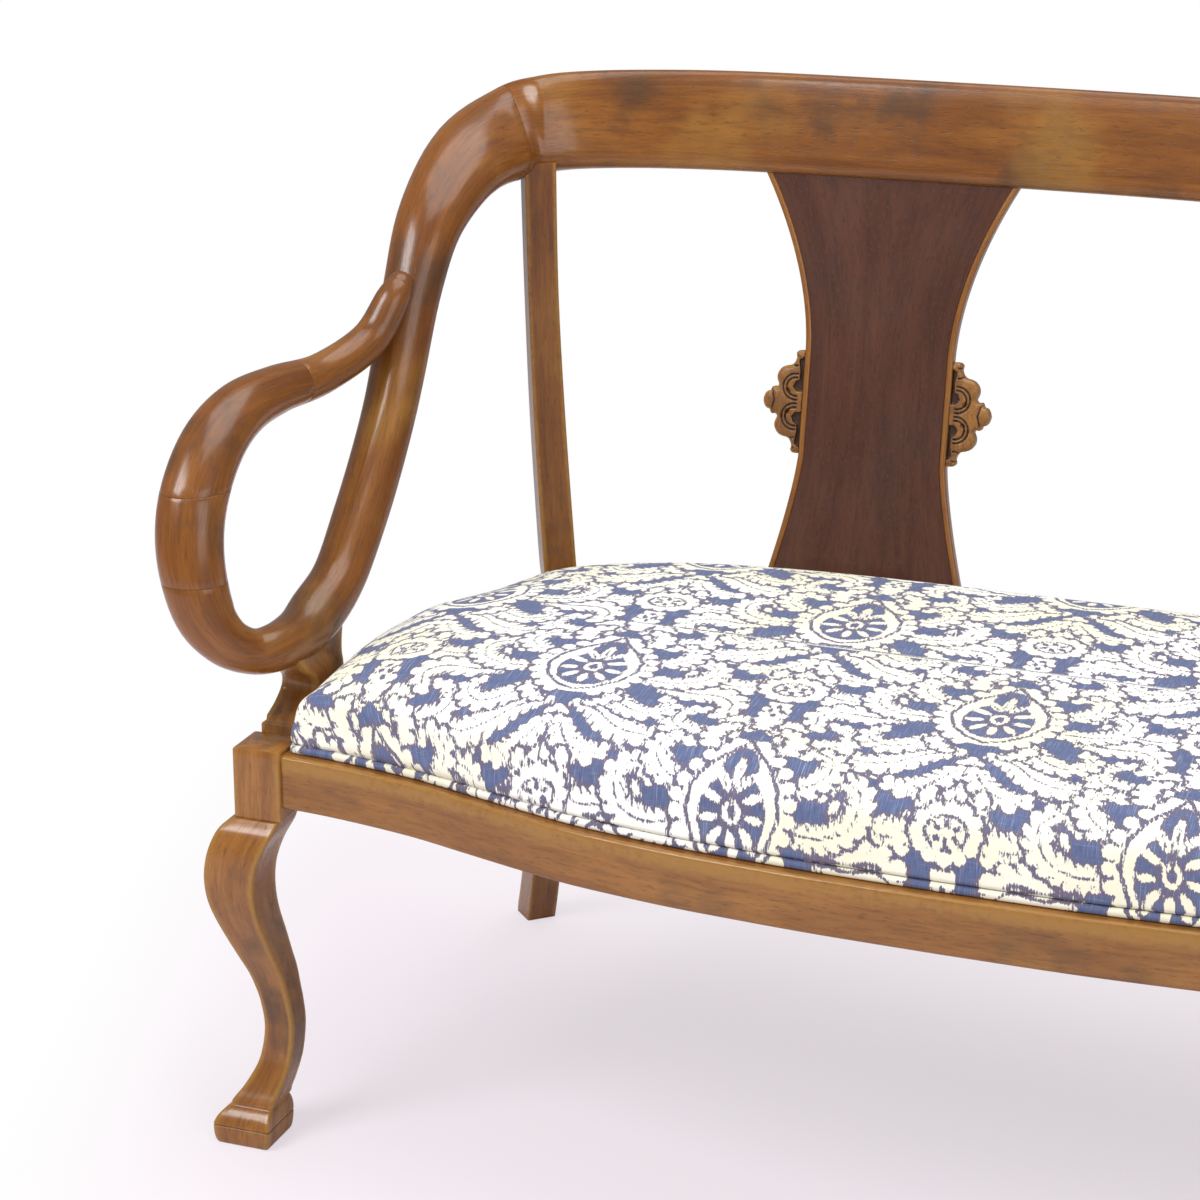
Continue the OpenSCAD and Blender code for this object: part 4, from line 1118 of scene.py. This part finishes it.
@dataclass
class Damask:
    """A common ogee damask as a field: how far inside the blue a place lies, in mm."""

    repeat: float = 400.0
    cell: float = 1.0
    outline: float = 3.6
    shrink: float = 1.7
    bare: float = 6.0
    mark_rim: float = 2.0
    leaves: tuple[Leaf, ...] = (
        Leaf(((0, -190), (0, -160), (0, -128), (0, -100)), 14, 9, 0.5, 0.8, 2.6),
        Leaf(((70, -150), (52, -160), (26, -150), (6, -118)), 14, 9, 0.4, 0.7, 2.4),
        Leaf(((34, 158), (44, 138), (32, 118), (8, 104)), 14, 9, 0.4, 0.8, 0,
             ((34, 140), (27, 132), (36, 128))),
        Leaf(((0, 172), (0, 146), (0, 108)), 13, 9, 0.5, 0.8, 0, ((0, 156), (5, 146), (0, 136))),
        Leaf(((112, 106), (128, 84), (116, 62), (86, 56)), 16, 10, 0.4, 0.8, 2.8),
        Leaf(((176, 40), (178, 12), (156, -8), (122, -6), (98, 10)), 17, 10, 0.35, 0.7, 3.0,
             ((160, 20), (152, 12), (164, 8))),
        Leaf(((150, -82), (158, -56), (140, -38), (108, -40), (84, -34)), 17, 10, 0.35, 0.7,
             3.0),
        Leaf(((118, -110), (98, -132), (66, -124), (40, -100), (14, -86)), 17, 10, 0.35, 0.6,
             2.8),
        Leaf(((62, 130), (84, 118), (82, 92), (54, 82), (22, 88)), 15, 9, 0.4, 0.8, 2.4),
        Leaf(((78, 16), (98, 36), (118, 22), (112, -8), (84, -22), (52, -18)), 14, 8.5, 0.5,
             0.8, 2.6),
        Leaf(((92, -58), (104, -78), (84, -94), (58, -82), (36, -54)), 14, 8.5, 0.4, 0.8, 2.6),
        Leaf(((52, 62), (74, 70), (84, 48), (68, 26), (44, 18)), 13, 8.5, 0.4, 0.8, 2.2),
        Leaf(((24, 104), (38, 92), (36, 70), (16, 60)), 11, 8, 0.5, 0.8),
        Leaf(((26, -88), (42, -74), (34, -56), (14, -60)), 10, 7.5, 0.5, 0.8))
    frame: tuple = ((0, 80), (10, 62), (27, 42), (41, 18), (45, -8), (36, -34), (18, -54),
                    (0, -62))
    petals: tuple = ((0, 34, 5, 16, 0), (11, 24, 4.6, 13, -34), (20, 8, 4.4, 11, -64),
                     (22, -12, 4.2, 9, -100), (15, -28, 4.2, 10, 40), (0, -34, 4.6, 10, 0),
                     (0, -6, 9, 12, 0))
    tile: np.ndarray | None = None

    @staticmethod
    def disc(x: np.ndarray, y: np.ndarray, cx: float, cy: float, rx: float,
             ry: float | None = None, turn: float = 0.0) -> np.ndarray:
        """Returns a filled, turned ellipse's field, positive inside."""
        ry = ry or rx
        c, s = math.cos(math.radians(turn)), math.sin(math.radians(turn))
        dx, dy = x - cx, y - cy
        return (1 - np.hypot((dx * c + dy * s) / rx, (dy * c - dx * s) / ry)) * min(rx, ry)

    @staticmethod
    def stroke(x: np.ndarray, y: np.ndarray, points: Sequence[Point], start: float,
               end: float) -> np.ndarray:
        """Returns the field of a line of points whose width goes from start to end."""
        best = np.full(x.shape, -1e3)
        count = len(points) - 1
        for k, ((ax, ay), (bx, by)) in enumerate(zip(points, points[1:])):
            dx, dy = bx - ax, by - ay
            share = np.clip(((x - ax) * dx + (y - ay) * dy) / (dx * dx + dy * dy), 0, 1)
            width = start + (end - start) * (k + share) / count
            best = np.maximum(best, width / 2 - np.hypot(x - ax - share * dx,
                                                         y - ay - share * dy))
        return best

    def draw_leaf(self, x: np.ndarray, y: np.ndarray,
                  leaf: Leaf) -> tuple[np.ndarray, np.ndarray]:
        """Draws a scalloped leaf with a nick at each cusp and a vein.

        Args:
            x: Places across the motif.
            y: Places along the motif.
            leaf: The leaf.

        Returns:
            The fields of its cream body and of its blue marks.
        """
        rows = np.array([smooth_row(leaf.spine, u)
                         for u in np.linspace(0, len(leaf.spine) - 1, 60)])
        run = run_along(rows)
        count = max(3, int(run[-1] / (leaf.lobe * 1.22))) * 2 + 1
        at = np.linspace(0, run[-1], count)
        line = np.stack([np.interp(at, run, rows[:, k]) for k in (0, 1)], 1)
        way = np.gradient(line, axis=0)
        way /= np.linalg.norm(way, axis=1)[:, None]
        side = np.stack([-way[:, 1], way[:, 0]], 1)
        share = at / run[-1]
        half = leaf.width * np.where(
            share < 0.55,
            leaf.tip + (1 - leaf.tip) * np.sin(share / 0.55 * math.pi / 2),
            leaf.root + (1 - leaf.root) * np.cos((share - 0.55) / 0.45 * math.pi / 2))
        body = [wide * 0.66 - np.hypot(x - px, y - py) for wide, (px, py) in zip(half, line)]
        marks = [self.disc(x, y, dx, dy, 3.2, 4.0) for dx, dy in leaf.dots]
        for s in (1, -1):
            for k in range(0 if s > 0 else 1, count, 2):
                r = leaf.lobe * (0.5 + 0.5 * half[k] / leaf.width)
                c = line[k] + side[k] * s * (half[k] - r * 0.6) - way[k] * half[k] * 0.25
                body.append(r - np.hypot(x - c[0], y - c[1]))
                m = min(count - 1, k + 1)
                a = line[m] + side[m] * s * half[m] * 1.05 - way[m] * half[m] * 0.3
                b = line[m] + side[m] * s * half[m] * 0.50 + way[m] * half[m] * 0.10
                marks.append(self.stroke(x, y, [tuple(a), tuple(b)], 3.6, 1.0))
        if leaf.vein:
            marks.append(self.stroke(x, y, [tuple(p) for p in line[2:-1]],
                                     leaf.vein * 0.7, leaf.vein))
        return np.maximum.reduce(body), np.maximum.reduce(marks)

    def draw_rosette(self, x: np.ndarray, y: np.ndarray) -> tuple[np.ndarray, np.ndarray]:
        """Draws the round flower in its ring between the ogees."""
        body = [self.disc(x, y, 27 * math.sin(a), 25 * math.cos(a), 8.5)
                for a in np.radians(np.arange(0, 181, 30))] + [self.disc(x, y, 0, 0, 27, 24)]
        marks = [self.disc(x, y, 10 * math.sin(a), 8.5 * math.cos(a), 2.8, 4.6, -math.degrees(a))
                 for a in np.radians(np.arange(0, 301, 60))]
        marks.append(1.6 - abs(np.hypot(x / 19, y / 16) - 1) * 16)
        return np.maximum.reduce(body), np.maximum.reduce(marks)

    def draw_palmette(self, x: np.ndarray, y: np.ndarray) -> tuple[np.ndarray, np.ndarray]:
        """Draws the pointed frame with the palmette inside it."""
        body = [self.disc(x, y, 0, -8, 52, 62), self.disc(x, y, 0, 24, 33, 60)]
        for px, py in self.frame[1:-1] + ((16, 52), (35, 31), (45, 5), (42, -22), (28, -46)):
            body.append(self.disc(x, y, px * 1.22, py * 1.2, 8.5))
        inner = np.maximum(self.disc(x, y, 0, -10, 33, 41), self.disc(x, y, 0, 22, 19, 44))
        petals = [self.disc(x, y, *petal) for petal in self.petals]
        veins = [self.disc(x, y, 0, -6, 4.4, 7), self.stroke(x, y, [(0, 40), (0, 26)], 1, 2.6),
                 self.stroke(x, y, [(14, 29), (8, 18)], 1, 2.4)]
        marks = [self.stroke(x, y, self.frame, 4.0, 3.8),
                 np.minimum(inner, -np.maximum.reduce(petals)), *veins]
        return np.maximum.reduce(body), np.maximum.reduce(marks)

    def painted(self) -> np.ndarray:
        """Paints half a repeat, shape over shape, and returns its field on a grid."""
        whole, half = self.repeat, self.repeat / 2
        x, y = np.meshgrid(np.arange(0, half + self.cell, self.cell),
                           np.arange(-half, half + self.cell, self.cell), indexing="ij")
        ogees = [(x, y), (x, y - whole), (x, y + whole), (half - x, y - half),
                 (half - x, y + half)]
        rounds = [(half - x, y), (x, y - half), (x, y + half)]
        shapes: list[tuple[Callable, list]] = [
            (lambda a, b, leaf=leaf: self.draw_leaf(a, b, leaf), ogees) for leaf in self.leaves]
        shapes += [(self.draw_rosette, rounds), (self.draw_palmette, ogees)]
        blue = np.full(x.shape, self.bare)
        for draw, copies in shapes:
            drawn = [draw(abs(a), b) for a, b in copies]
            body, marks = (np.maximum.reduce(fields) for fields in zip(*drawn))
            body = body - self.shrink
            blue = np.minimum(np.maximum(blue, body + self.outline), -body)
            blue = np.maximum(blue, np.minimum(marks, body + self.mark_rim))
        return blue

    def figure(self, x: np.ndarray, y: np.ndarray) -> np.ndarray:
        """Returns the field at places on the cloth, in millimetres."""
        if self.tile is None:
            self.tile = self.painted()
        tile, turn = self.tile, self.repeat
        lx = np.abs(x - np.floor(x / turn + 0.5) * turn) / self.cell
        ly = (y - np.floor(y / turn + 0.5) * turn + turn / 2) / self.cell
        i = np.minimum(lx.astype(int), tile.shape[0] - 2)
        j = np.minimum(ly.astype(int), tile.shape[1] - 2)
        u, v = lx - i, ly - j
        return ((tile[i, j] * (1 - u) + tile[i + 1, j] * u) * (1 - v)
                + (tile[i, j + 1] * (1 - u) + tile[i + 1, j + 1] * u) * v)


@dataclass
class Seat:
    """The sprung seat: crowned damask cover, its padding and the flat welt."""

    rail_top: float = Underframe.rail_top
    side_x: float = 0.6362
    back_y: float = 0.216
    front_y: float = Underframe.front_y
    bow: float = Underframe.bow
    inset: float = 0.011
    edge: float = 0.040
    crown: float = 0.087
    roundness: float = 3.35
    side_front_y: float = -0.2355
    middle_x: float = 0.381
    half_depth: float = 0.259
    welt_h: float = 0.0082
    welt_cloth: float = 0.052
    pitch: float = 0.0058
    welt_pitch: float = 0.0036
    swell: float = 0.004
    held_h: float = 0.0125
    cloth: tuple = (("quality", 4), ("mass", 0.25), ("tension_stiffness", 20),
                    ("compression_stiffness", 12), ("bending_stiffness", 0.4),
                    ("use_pressure", True), ("uniform_pressure_force", 3.0),
                    ("vertex_group_mass", "held"))
    cloth_frames: int = 20
    back_droop: Place = (0.75, 3.9, 2.3)
    front_droop: Place = (0.19, 8, 2)
    edge_ring: int = 6
    crown_ring: int = 24
    print_scale: float = 0.93
    print_shift: tuple[float, float] = (2.0, 192.0)
    corners: tuple = ((-0.6362, -0.2355), (-0.6362, -0.11335), (-0.6291, 0.0),
                      (-0.5988, 0.0984), (-0.58825, 0.1935), (-0.5557, 0.2103),
                      (-0.5179, 0.216), (0.0, 0.216))
    bow_rows: tuple = Underframe.bow_rows
    side_rows: tuple = ((0.0036, 0.0076), (0.0026, 0.0086), (0.0008, 0.0100),
                        (-0.0010, 0.0122), (-0.0022, 0.0155), (-0.0028, 0.0200),
                        (-0.0028, 0.0250), (-0.0022, 0.0305), (-0.0010, 0.0360))
    welt_rows: tuple = ((-0.0050, 0.0004), (-0.0014, 0.0004), (0.0002, 0.0008),
                        (0.0010, 0.0018), (0.0013, 0.0032), (0.0014, 0.0046),
                        (0.0011, 0.0062), (0.0004, welt_h - 0.0008),
                        (-0.0010, welt_h - 0.0001), (-0.0050, welt_h))
    damask: Damask = field(default_factory=Damask)

    @property
    def middle_y(self) -> float:
        """Y of the line that the crown rises to."""
        return (self.back_y + self.front_y) / 2 - self.bow / 3

    def plan(self, pitch: float) -> np.ndarray:
        """Returns the whole outline from above, as points a pitch apart."""
        half = [(-s[0] * self.side_x, self.front_y - s[1] * self.bow + self.inset)
                for s in (smooth_row(self.bow_rows, u)
                          for u in steps(0, len(self.bow_rows) - 1, 12))]
        half += list(self.corners)
        whole = half + [(-x, y) for x, y in half[-2:0:-1]]
        closed = np.array(whole + whole[:1])
        run = run_along(closed)
        count = int(run[-1] / pitch / 4) * 4
        places = np.arange(count) * run[-1] / count
        even = np.stack([np.interp(places, run, closed[:, k]) for k in (0, 1)], 1)
        wrapped = np.concatenate([even[-3:], even, even[:3]])
        return np.stack([np.convolve(wrapped[:, k], np.ones(3) / 3, "same")[3:-3]
                         for k in (0, 1)], 1)

    def drawn(self, plan: np.ndarray, share: float) -> np.ndarray:
        """Returns the outline drawn towards the seat's middle line by a share."""
        spine = np.stack([np.clip(plan[:, 0], -self.middle_x, self.middle_x),
                          np.full(len(plan), self.middle_y)], 1)
        return plan + (spine - plan) * share

    def droop(self, p: np.ndarray) -> np.ndarray:
        """Returns how far the seat keeps its height at each point."""
        beside = np.minimum(1, np.abs(p[:, 0]) / self.side_x)
        depth = np.clip((p[:, 1] - self.side_front_y) / (self.back_y - self.side_front_y), 0, 1)
        front = np.clip(p[:, 1] / self.side_front_y, 0, 1)
        (a, b, c), (d, e, f) = self.back_droop, self.front_droop
        return (1 - a * beside ** b * depth ** c) * (1 - d * beside ** e * front ** f)

    def cushion(self) -> Piece:
        """Builds the crowned seat, lets the cloth settle and prints it."""
        plan = self.plan(self.pitch)
        rings = []
        for inward, z in self.side_rows:
            flat = self.drawn(plan, inward / self.half_depth)
            height = z * (1 + (self.droop(flat) - 1) * z / self.edge)
            rings.append(np.column_stack([flat, height]))
        for t in (0.001, 0.008, 0.018, 0.032, *np.linspace(0.052, 0.993, 42)):
            flat = self.drawn(plan, t)
            height = self.edge + (self.crown - self.edge) * (
                1 - (1 - t) ** self.roundness) ** (1 / self.roundness)
            rings.append(np.column_stack([flat, height * self.droop(flat)]))
        rings = np.array(rings)
        rings[:, :, 2] += self.rail_top
        piece = self.skinned("seat_cushion", rings)
        self.settle(piece)
        Bench.applied(piece, "SUBSURF", levels=1, render_levels=1)
        self.printed(piece)
        Bench.softened(piece, 70)
        return piece

    def settle(self, piece: Piece) -> None:
        """Runs the cloth under pressure and moves the piece towards where it settles, by no more
        than a few millimetres.

        Args:
            piece: The cushion, whose low edge is held.
        """
        trial = Bench.linked("cloth_trial", piece.data.copy())
        rest = Bench.points(trial.data)
        held = trial.vertex_groups.new(name="held")
        low = np.flatnonzero(rest[:, 2] < self.rail_top + self.held_h)
        held.add(low.tolist(), 1.0, "REPLACE")
        Bench.hold(trial)
        cloth = trial.modifiers.new("cloth", "CLOTH")
        for key, value in self.cloth:
            setattr(cloth.settings, key, value)
        cloth.settings.effector_weights.gravity = 0.0
        cloth.collision_settings.use_collision = False
        cloth.point_cache.frame_start, cloth.point_cache.frame_end = 1, self.cloth_frames
        scene = bpy.context.scene
        for number in range(1, self.cloth_frames + 1):
            scene.frame_set(number)
        settled = trial.evaluated_get(bpy.context.evaluated_depsgraph_get())
        move = Bench.points(settled.data) - rest
        size = np.linalg.norm(move, axis=1)[:, None]
        LOG.info("cloth moved by up to %.1f mm", float(size.max()) * 1000)
        move *= self.swell * np.tanh(size / self.swell) / np.maximum(size, 1e-9)
        piece.data.vertices.foreach_set("co", (rest + move).ravel())
        piece.data.update()
        mesh = trial.data
        bpy.data.objects.remove(trial)
        bpy.data.meshes.remove(mesh)
        scene.frame_set(1)

    def skinned(self, name: str, rings: np.ndarray) -> Piece:
        """Skins rings of points, with both ends open, and maps the cloth over them.

        Args:
            name: Name of the piece.
            rings: Points as ring, place, axis, from the low edge to the middle.

        Returns:
            The piece, with the map weave.
        """
        count, around = rings.shape[:2]
        long = np.linalg.norm(np.diff(rings, axis=0), axis=2)
        level = np.linalg.norm(np.diff(rings[:, :, :2], axis=0), axis=2)
        extra = np.zeros((count, around))
        extra[:-1] = np.cumsum((long - level)[::-1], axis=0)[::-1]
        outward = rings[self.edge_ring, :, :2] - rings[self.crown_ring, :, :2]
        outward /= np.linalg.norm(outward, axis=1)[:, None]
        cloth = rings[:, :, :2] + outward[None] * extra[:, :, None]
        return self.mapped(name, rings, cloth, count - 1)

    @staticmethod
    def mapped(name: str, rings: np.ndarray, cloth: np.ndarray, rows: int) -> Piece:
        """Makes a mesh of rings, facing outwards, with the map weave.

        Args:
            name: Name of the piece.
            rings: Points as ring, place, axis.
            cloth: Place of each point on the flat cloth.
            rows: Rows of faces: one for each ring where the last ring meets the first.

        Returns:
            The piece.
        """
        count, around = rings.shape[:2]
        faces = [[k * around + m, k * around + (m + 1) % around,
                  (k + 1) % count * around + (m + 1) % around, (k + 1) % count * around + m]
                 for k in range(rows) for m in range(around)]
        mesh = bpy.data.meshes.new(name)
        mesh.from_pydata(rings.reshape(-1, 3).tolist(), [], faces)
        piece = Bench.linked(name, mesh)
        flat = cloth.reshape(-1, 2)[Bench.corners(mesh)]
        mesh.uv_layers.new(name="weave").data.foreach_set("uv", flat.ravel())
        Bench.edit(piece)
        Bench.shut()
        return piece

    def printed(self, piece: Piece) -> None:
        """Closes a piece's ends and writes the damask's field from its map weave."""
        mesh = piece.data
        uv = np.empty(len(mesh.loops) * 2)
        mesh.uv_layers["weave"].data.foreach_get("uv", uv)
        flat = np.zeros((len(mesh.vertices), 2))
        flat[Bench.corners(mesh)] = uv.reshape(-1, 2)
        Bench.edit(piece)
        bpy.ops.mesh.fill_holes(sides=0)
        Bench.shut()
        mesh.uv_layers["weave"].data.foreach_set("uv", flat[Bench.corners(mesh)].ravel())
        flat = flat * 1000 / self.print_scale + self.print_shift
        Bench.valued(mesh, "figure", self.damask.figure(*flat.T))

    def welt(self) -> Piece:
        """Builds the flat covered welt round the seat's lower edge."""
        plan = self.plan(self.welt_pitch)
        step = np.roll(plan, -1, 0) - np.roll(plan, 1, 0)
        out = np.column_stack([step[:, 1], -step[:, 0]])
        out /= np.linalg.norm(out, axis=1)[:, None]
        if np.sum(out * (plan - plan.mean(0))) < 0:
            out = -out
        rings = np.array([np.column_stack([plan + out * reach,
                                           np.full(len(plan), self.rail_top + height)])
                          for reach, height in self.welt_rows])
        cloth = np.array([plan + out * (self.welt_cloth - height)
                          for _, height in self.welt_rows])
        piece = self.mapped("seat_flat_welt", rings, cloth, len(rings))
        Bench.applied(piece, "SUBSURF", levels=1, render_levels=1)
        self.printed(piece)
        Bench.softened(piece, 60)
        return piece

    def build(self) -> None:
        """Builds the cushion and its welt."""
        cushion = self.cushion()
        Bench.seat_piece(cushion, DAMASK, "seat_cover", "seat_foam")
        Bench.seat_piece(self.welt(), DAMASK, "seat_welt")


@dataclass
class Undercarriage:
    """What shows from below: dust cloth, webbing, hessian, blocks and screws."""

    facing_down: float = -0.9
    dressed: tuple = (("long_webbing", WEBBING), ("cross_webbing", WEBBING),
                      ("hessian", HESSIAN), ("corner_blocks", RAW_WOOD),
                      ("corner_screws", STEEL))

    def build(self) -> None:
        """Dresses the pieces under the seat."""
        cloth = Bench.copied("dust_cover", "dust_sheet")
        Bench.seat_piece(cloth, DUST_CLOTH, "dust_cover")
        for node, finish in self.dressed:
            piece = frame["nodes"][node]
            if not piece.material_slots:
                piece.data.materials.append(finish.material())
            for slot in piece.material_slots:
                slot.material = finish.material()

    def area(self, cloth: Piece) -> float:
        """Returns the cut area of a flat cloth."""
        return sum(f.area for f in cloth.data.polygons if f.normal.z < self.facing_down)


@dataclass
class Studio:
    """Pale floor with a painted glow, soft lamps and the camera."""

    camera_place: Place = (0.64446, -2.82037, 1.52136)
    camera_turn: tuple[float, float] = (71.0, 21.0)
    lens: float = 101.28
    floor: Colour = (0.90, 0.84, 0.885, 1)
    painted_light_tint: Colour = (0.97, 0.90, 0.95, 1)
    fill: Colour = (0.96, 0.97, 1.0, 1)
    fill_strength: float = 0.34
    shadow_share: float = 0.36
    far_fade: tuple[float, float] = (0.15, 0.95)
    left_fade: tuple[float, float] = (0.72, 1.05)
    aim: Place = (0.0, 0.0, 0.5)
    lamps: tuple = (("key", (-1.7, -2.3, 2.9), 1.5, 82), ("fill", (2.8, -2.4, 2.2), 2.4, 46),
                    ("top", (0.2, 0.2, 3.4), 2.4, 60))

    def ground(self) -> None:
        """Builds the floor, which keeps part of its shadows and for the camera glows with painted
        light: lilac-tinted near the settee, fading to white far off and to the left.
        """
        Bench.clear()
        bpy.ops.mesh.primitive_plane_add(size=16, location=(0, 0, -0.0005))
        ground = bpy.context.object
        ground.name = "floor"
        g = Graph("studio_floor")
        x, y = (g.node("ShaderNodeSeparateXYZ", {}, {0: g.here()}, out=name) for name in "XY")
        far = y.ramp(*self.far_fade)
        left = (-x - y * 0.3).ramp(*self.left_fade)
        share = far + left - far * left
        seen = g.node("ShaderNodeLightPath", {}, {}, out="Is Camera Ray")
        plain = g.node("ShaderNodeBsdfPrincipled", {}, {"Base Color": self.floor,
                                                        "Roughness": 0.6,
                                                        "Specular IOR Level": 0.2})
        # Painted light: the camera sees the floor glow, tinted lilac as painted shade near the
        # settee and white far off and to the left.
        painted_light_tint = g.mix(share, self.painted_light_tint, (1, 1, 1, 1))
        painted_light_glow = g.node("ShaderNodeEmission", {}, {"Color": painted_light_tint, "Strength": 1.0})
        kept = self.shadow_share
        both = g.node("ShaderNodeMixShader", {},
                      {0: (1 - kept + share * kept) * seen, 1: plain, 2: painted_light_glow})
        ground.data.materials.append(g.ended(both))

    def sky(self) -> None:
        """Builds the world: soft fill light, and plain white where it is seen."""
        world = bpy.data.worlds.new("studio")
        bpy.context.scene.world = world
        world.use_nodes = True
        tree = world.node_tree
        tree.nodes.clear()
        seen = tree.nodes.new("ShaderNodeLightPath")
        mix = tree.nodes.new("ShaderNodeMixShader")
        out = tree.nodes.new("ShaderNodeOutputWorld")
        for k, (colour, strength) in enumerate(((self.fill, self.fill_strength),
                                                ((1, 1, 1, 1), 1.0))):
            shade = tree.nodes.new("ShaderNodeBackground")
            shade.inputs["Color"].default_value = colour
            shade.inputs["Strength"].default_value = strength
            tree.links.new(shade.outputs[0], mix.inputs[k + 1])
        tree.links.new(seen.outputs["Is Camera Ray"], mix.inputs[0])
        tree.links.new(mix.outputs[0], out.inputs[0])

    def build(self) -> None:
        """Builds the floor, the lights and the camera."""
        self.ground()
        self.sky()
        for name, place, size, power in self.lamps:
            self.lamp(name, place, size, power)
        data = bpy.data.cameras.new("view")
        data.lens, data.sensor_width, data.sensor_fit = self.lens, 36, "HORIZONTAL"
        data.clip_end = 60
        camera = Bench.linked("view", data)
        camera.location = self.camera_place
        pitch, swing = map(math.radians, self.camera_turn)
        camera.rotation_euler = (pitch, 0, swing)
        bpy.context.scene.camera = camera
        bpy.context.scene.view_settings.view_transform = "Standard"

    def lamp(self, name: str, place: Point, size: float, power: float) -> None:
        """Adds a square lamp that faces the settee."""
        data = bpy.data.lights.new(name, "AREA")
        data.shape, data.size, data.energy = "SQUARE", size, power
        lamp = Bench.linked(name, data)
        lamp.location = place
        aim = np.array(self.aim) - np.array(place)
        lamp.rotation_euler = (math.acos(-aim[2] / np.linalg.norm(aim)), 0,
                               math.atan2(aim[1], aim[0]) - math.pi / 2)


def main() -> None:
    """Builds every sub-assembly in order."""
    logging.basicConfig(level=logging.INFO, format="%(message)s")
    for assembly in (BackFrame(), Underframe(), Splats(), Seat(), Undercarriage(), Studio()):
        LOG.info("building %s", type(assembly).__name__)
        assembly.build()


if __name__ == "__main__":
    main()
